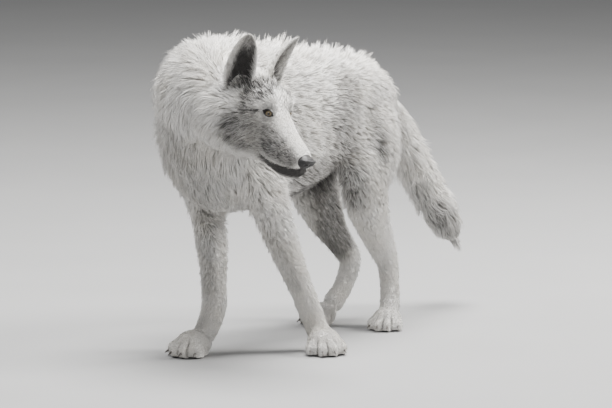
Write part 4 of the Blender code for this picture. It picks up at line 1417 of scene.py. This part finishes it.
def make_eye(name, side, material):
    """A ball with a bulging cornea; its rings run round the way it looks."""
    look = HEAD_AXES @ (LOOK * (1, side, 1))
    across = unit(np.cross(look, HEAD_AXES[:, 2]))
    over = np.cross(across, look)
    centre = from_head(EYE_AT * (1, side, 1))
    angles = np.radians(np.concatenate([np.arange(0, 60, 2.5), np.linspace(60, 180, 17)]))
    points, angle_of, turn_of = [], [], []
    for angle in angles:
        radius = EYE_RADIUS * (1 + CORNEA * math.exp(-((angle / math.radians(30)) ** 2)))
        for turn in np.arange(EYE_TURNS) * 2 * math.pi / EYE_TURNS:
            round_it = across * math.cos(turn) + over * math.sin(turn)
            points.append(centre + (look * math.cos(angle) + round_it * math.sin(angle)) * radius)
            angle_of.append(angle / (math.pi / 2))
            turn_of.append(abs(turn - math.pi) * 1.5)
    faces = []
    for ring in range(len(angles) - 1):
        for i in range(EYE_TURNS):
            a, b = ring * EYE_TURNS + i, ring * EYE_TURNS + (i + 1) % EYE_TURNS
            faces.append((a, a + EYE_TURNS, b + EYE_TURNS, b))
    mesh = mesh_from(name, points, faces)
    set_value(mesh, "angle", angle_of)
    set_value(mesh, "turn", turn_of)
    mesh.shade_smooth()
    return object_from(name, mesh, material)


def make_nose(material):
    """The pad, flat on top and cut back below, with nostrils, their slits and the groove between them."""
    pad = modified(object_from("nose_pad", welded_copy("nose"), material), "SUBSURF", levels=4)
    mesh = pad.data
    normals = normals_of(mesh) @ HEAD_AXES
    local = to_head(points_of(mesh)) + normals * 0.0006
    offset = local - NOSE_AT
    top = smooth_step(offset[:, 2], 0.004, 0.016)
    offset[:, 2] -= 0.0042 * top
    offset[:, 0] += 0.24 * offset[:, 2] + 0.001
    behind = smooth_step(-offset[:, 0], 0.001, 0.012)[:, None]
    offset[:, 1:] *= 1 - 0.2 * behind
    local = NOSE_AT + offset
    left = folded(local)
    round_hole = length_of((left - NOSTRIL) / (1.6, 1.0, 0.85))
    slit = near_line(left, NOSTRIL + (-0.002, 0.003, -0.001), NOSTRIL + (-0.012, 0.0095, -0.0005), 0, 0.0026)
    push = -0.0056 * hill(round_hole, 0.0033) - 0.0026 * slit
    push += 0.0008 * hill(round_hole, 0.0018, 0.0056)
    groove = hill(local[:, 1], 0.0011) * smooth_step(-local[:, 2], 0.046, 0.054)
    push -= 0.0014 * groove * (local[:, 0] > 0.266)
    set_points(mesh, from_head(local + normals * push[:, None]))
    mesh.shade_smooth()
    return pad


def finish_claws(material):
    for name in CLAWS:
        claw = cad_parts[name]
        claw.material_slots[0].link = "OBJECT"
        claw.material_slots[0].material = material


# ---- floor, light and camera

AZIMUTH = math.radians(36)
ELEVATION = math.radians(8)
DISTANCE = 10.0
LENS = 261.8
BACK = np.array((math.sin(AZIMUTH) * math.cos(ELEVATION), -math.cos(AZIMUTH) * math.cos(ELEVATION),
                 math.sin(ELEVATION)))
RIGHT = np.array((math.cos(AZIMUTH), math.sin(AZIMUTH), 0))
UP = np.cross(BACK, RIGHT)
# The body's origin in the view, against its centre.
ORIGIN_RIGHT = -0.18876
ORIGIN_UP = -0.33483
# Each light: right, up and towards the camera from the animal, size, power and colour.
LIGHTS = {
    "sky": ((0.2, 4.4, -0.2), 3.0, 860, (1.0, 0.99, 0.975)),
    "key": ((3.4, 2.0, -0.7), 1.5, 360, (1.0, 0.985, 0.96)),
    "front": ((0.5, 1.2, 4.2), 2.6, 60, (1.0, 0.99, 0.98)),
    "left": ((-3.6, 2.4, 0.2), 2.2, 90, (0.97, 0.985, 1.0)),
}
AMBIENT = 0.26


def aimed(obj, place, target):
    obj.location = Vector(place)
    obj.rotation_euler = (Vector(target) - Vector(place)).to_track_quat("-Z", "Y").to_euler()
    bpy.context.scene.collection.objects.link(obj)


def add_camera():
    lens = bpy.data.cameras.new("camera")
    lens.lens, lens.sensor_width, lens.clip_end = LENS, 36, 100
    camera = bpy.data.objects.new("camera", lens)
    middle_of_view = BODY - RIGHT * ORIGIN_RIGHT - UP * ORIGIN_UP
    aimed(camera, middle_of_view + BACK * DISTANCE, middle_of_view)
    bpy.context.scene.camera = camera


def add_lights():
    target = np.array((0, 0, 0.4))
    for name, ((right, up, near), size, power, colour) in LIGHTS.items():
        lamp = bpy.data.lights.new(name, "AREA")
        lamp.shape, lamp.size, lamp.energy, lamp.color = "DISK", size, power, colour
        place = target + RIGHT * right + unit(BACK * (1, 1, 0)) * near + (0, 0, up)
        aimed(bpy.data.objects.new(name, lamp), place, target)
    world = bpy.data.worlds.new("world")
    world.use_nodes = True
    background = world.node_tree.nodes["Background"]
    background.inputs["Color"].default_value = (0.97, 0.985, 1.0, 1)
    background.inputs["Strength"].default_value = AMBIENT
    bpy.context.scene.world = world


def add_floor():
    size = 30
    corners = [(-size, -size, 0), (size, -size, 0), (size, size, 0), (-size, size, 0)]
    floor = object_from("floor", mesh_from("floor", corners, [(0, 1, 2, 3)]), floor_material())
    floor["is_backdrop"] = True


# ---- the whole

def dress(mesh, ground):
    """The skin's own values, for its material."""
    even = np.full(len(ground.points), 0.5)
    for key, values in (("dark", ground.dark), ("bare", ground.bare), ("tone", even)):
        set_value(mesh, key, values)
    return object_from("skin", mesh, skin_material())


def build():
    hull = hull_object()
    mesh, which = whole_skin(hull)
    ground = Ground(mesh, hull, which)
    skin = dress(mesh, ground)
    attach(skin, "root")
    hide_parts(*FLESH, *EARS)
    for piece in make_coat(ground, coat_material()):
        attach(piece, "root")
    bpy.data.objects.remove(hull)
    iris = eye_material()
    for name, side in (("left_eye", 1), ("right_eye", -1)):
        eye = make_eye(name + "_ball", side, iris)
        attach(eye, "root")
        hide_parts(name)
    nose = make_nose(nose_material())
    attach(nose, "root")
    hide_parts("nose")
    finish_claws(horn_material())


build()
add_floor()
add_lights()
add_camera()
[[list(corner) for corner in corners] for corners in (CAD_BOX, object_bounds())]
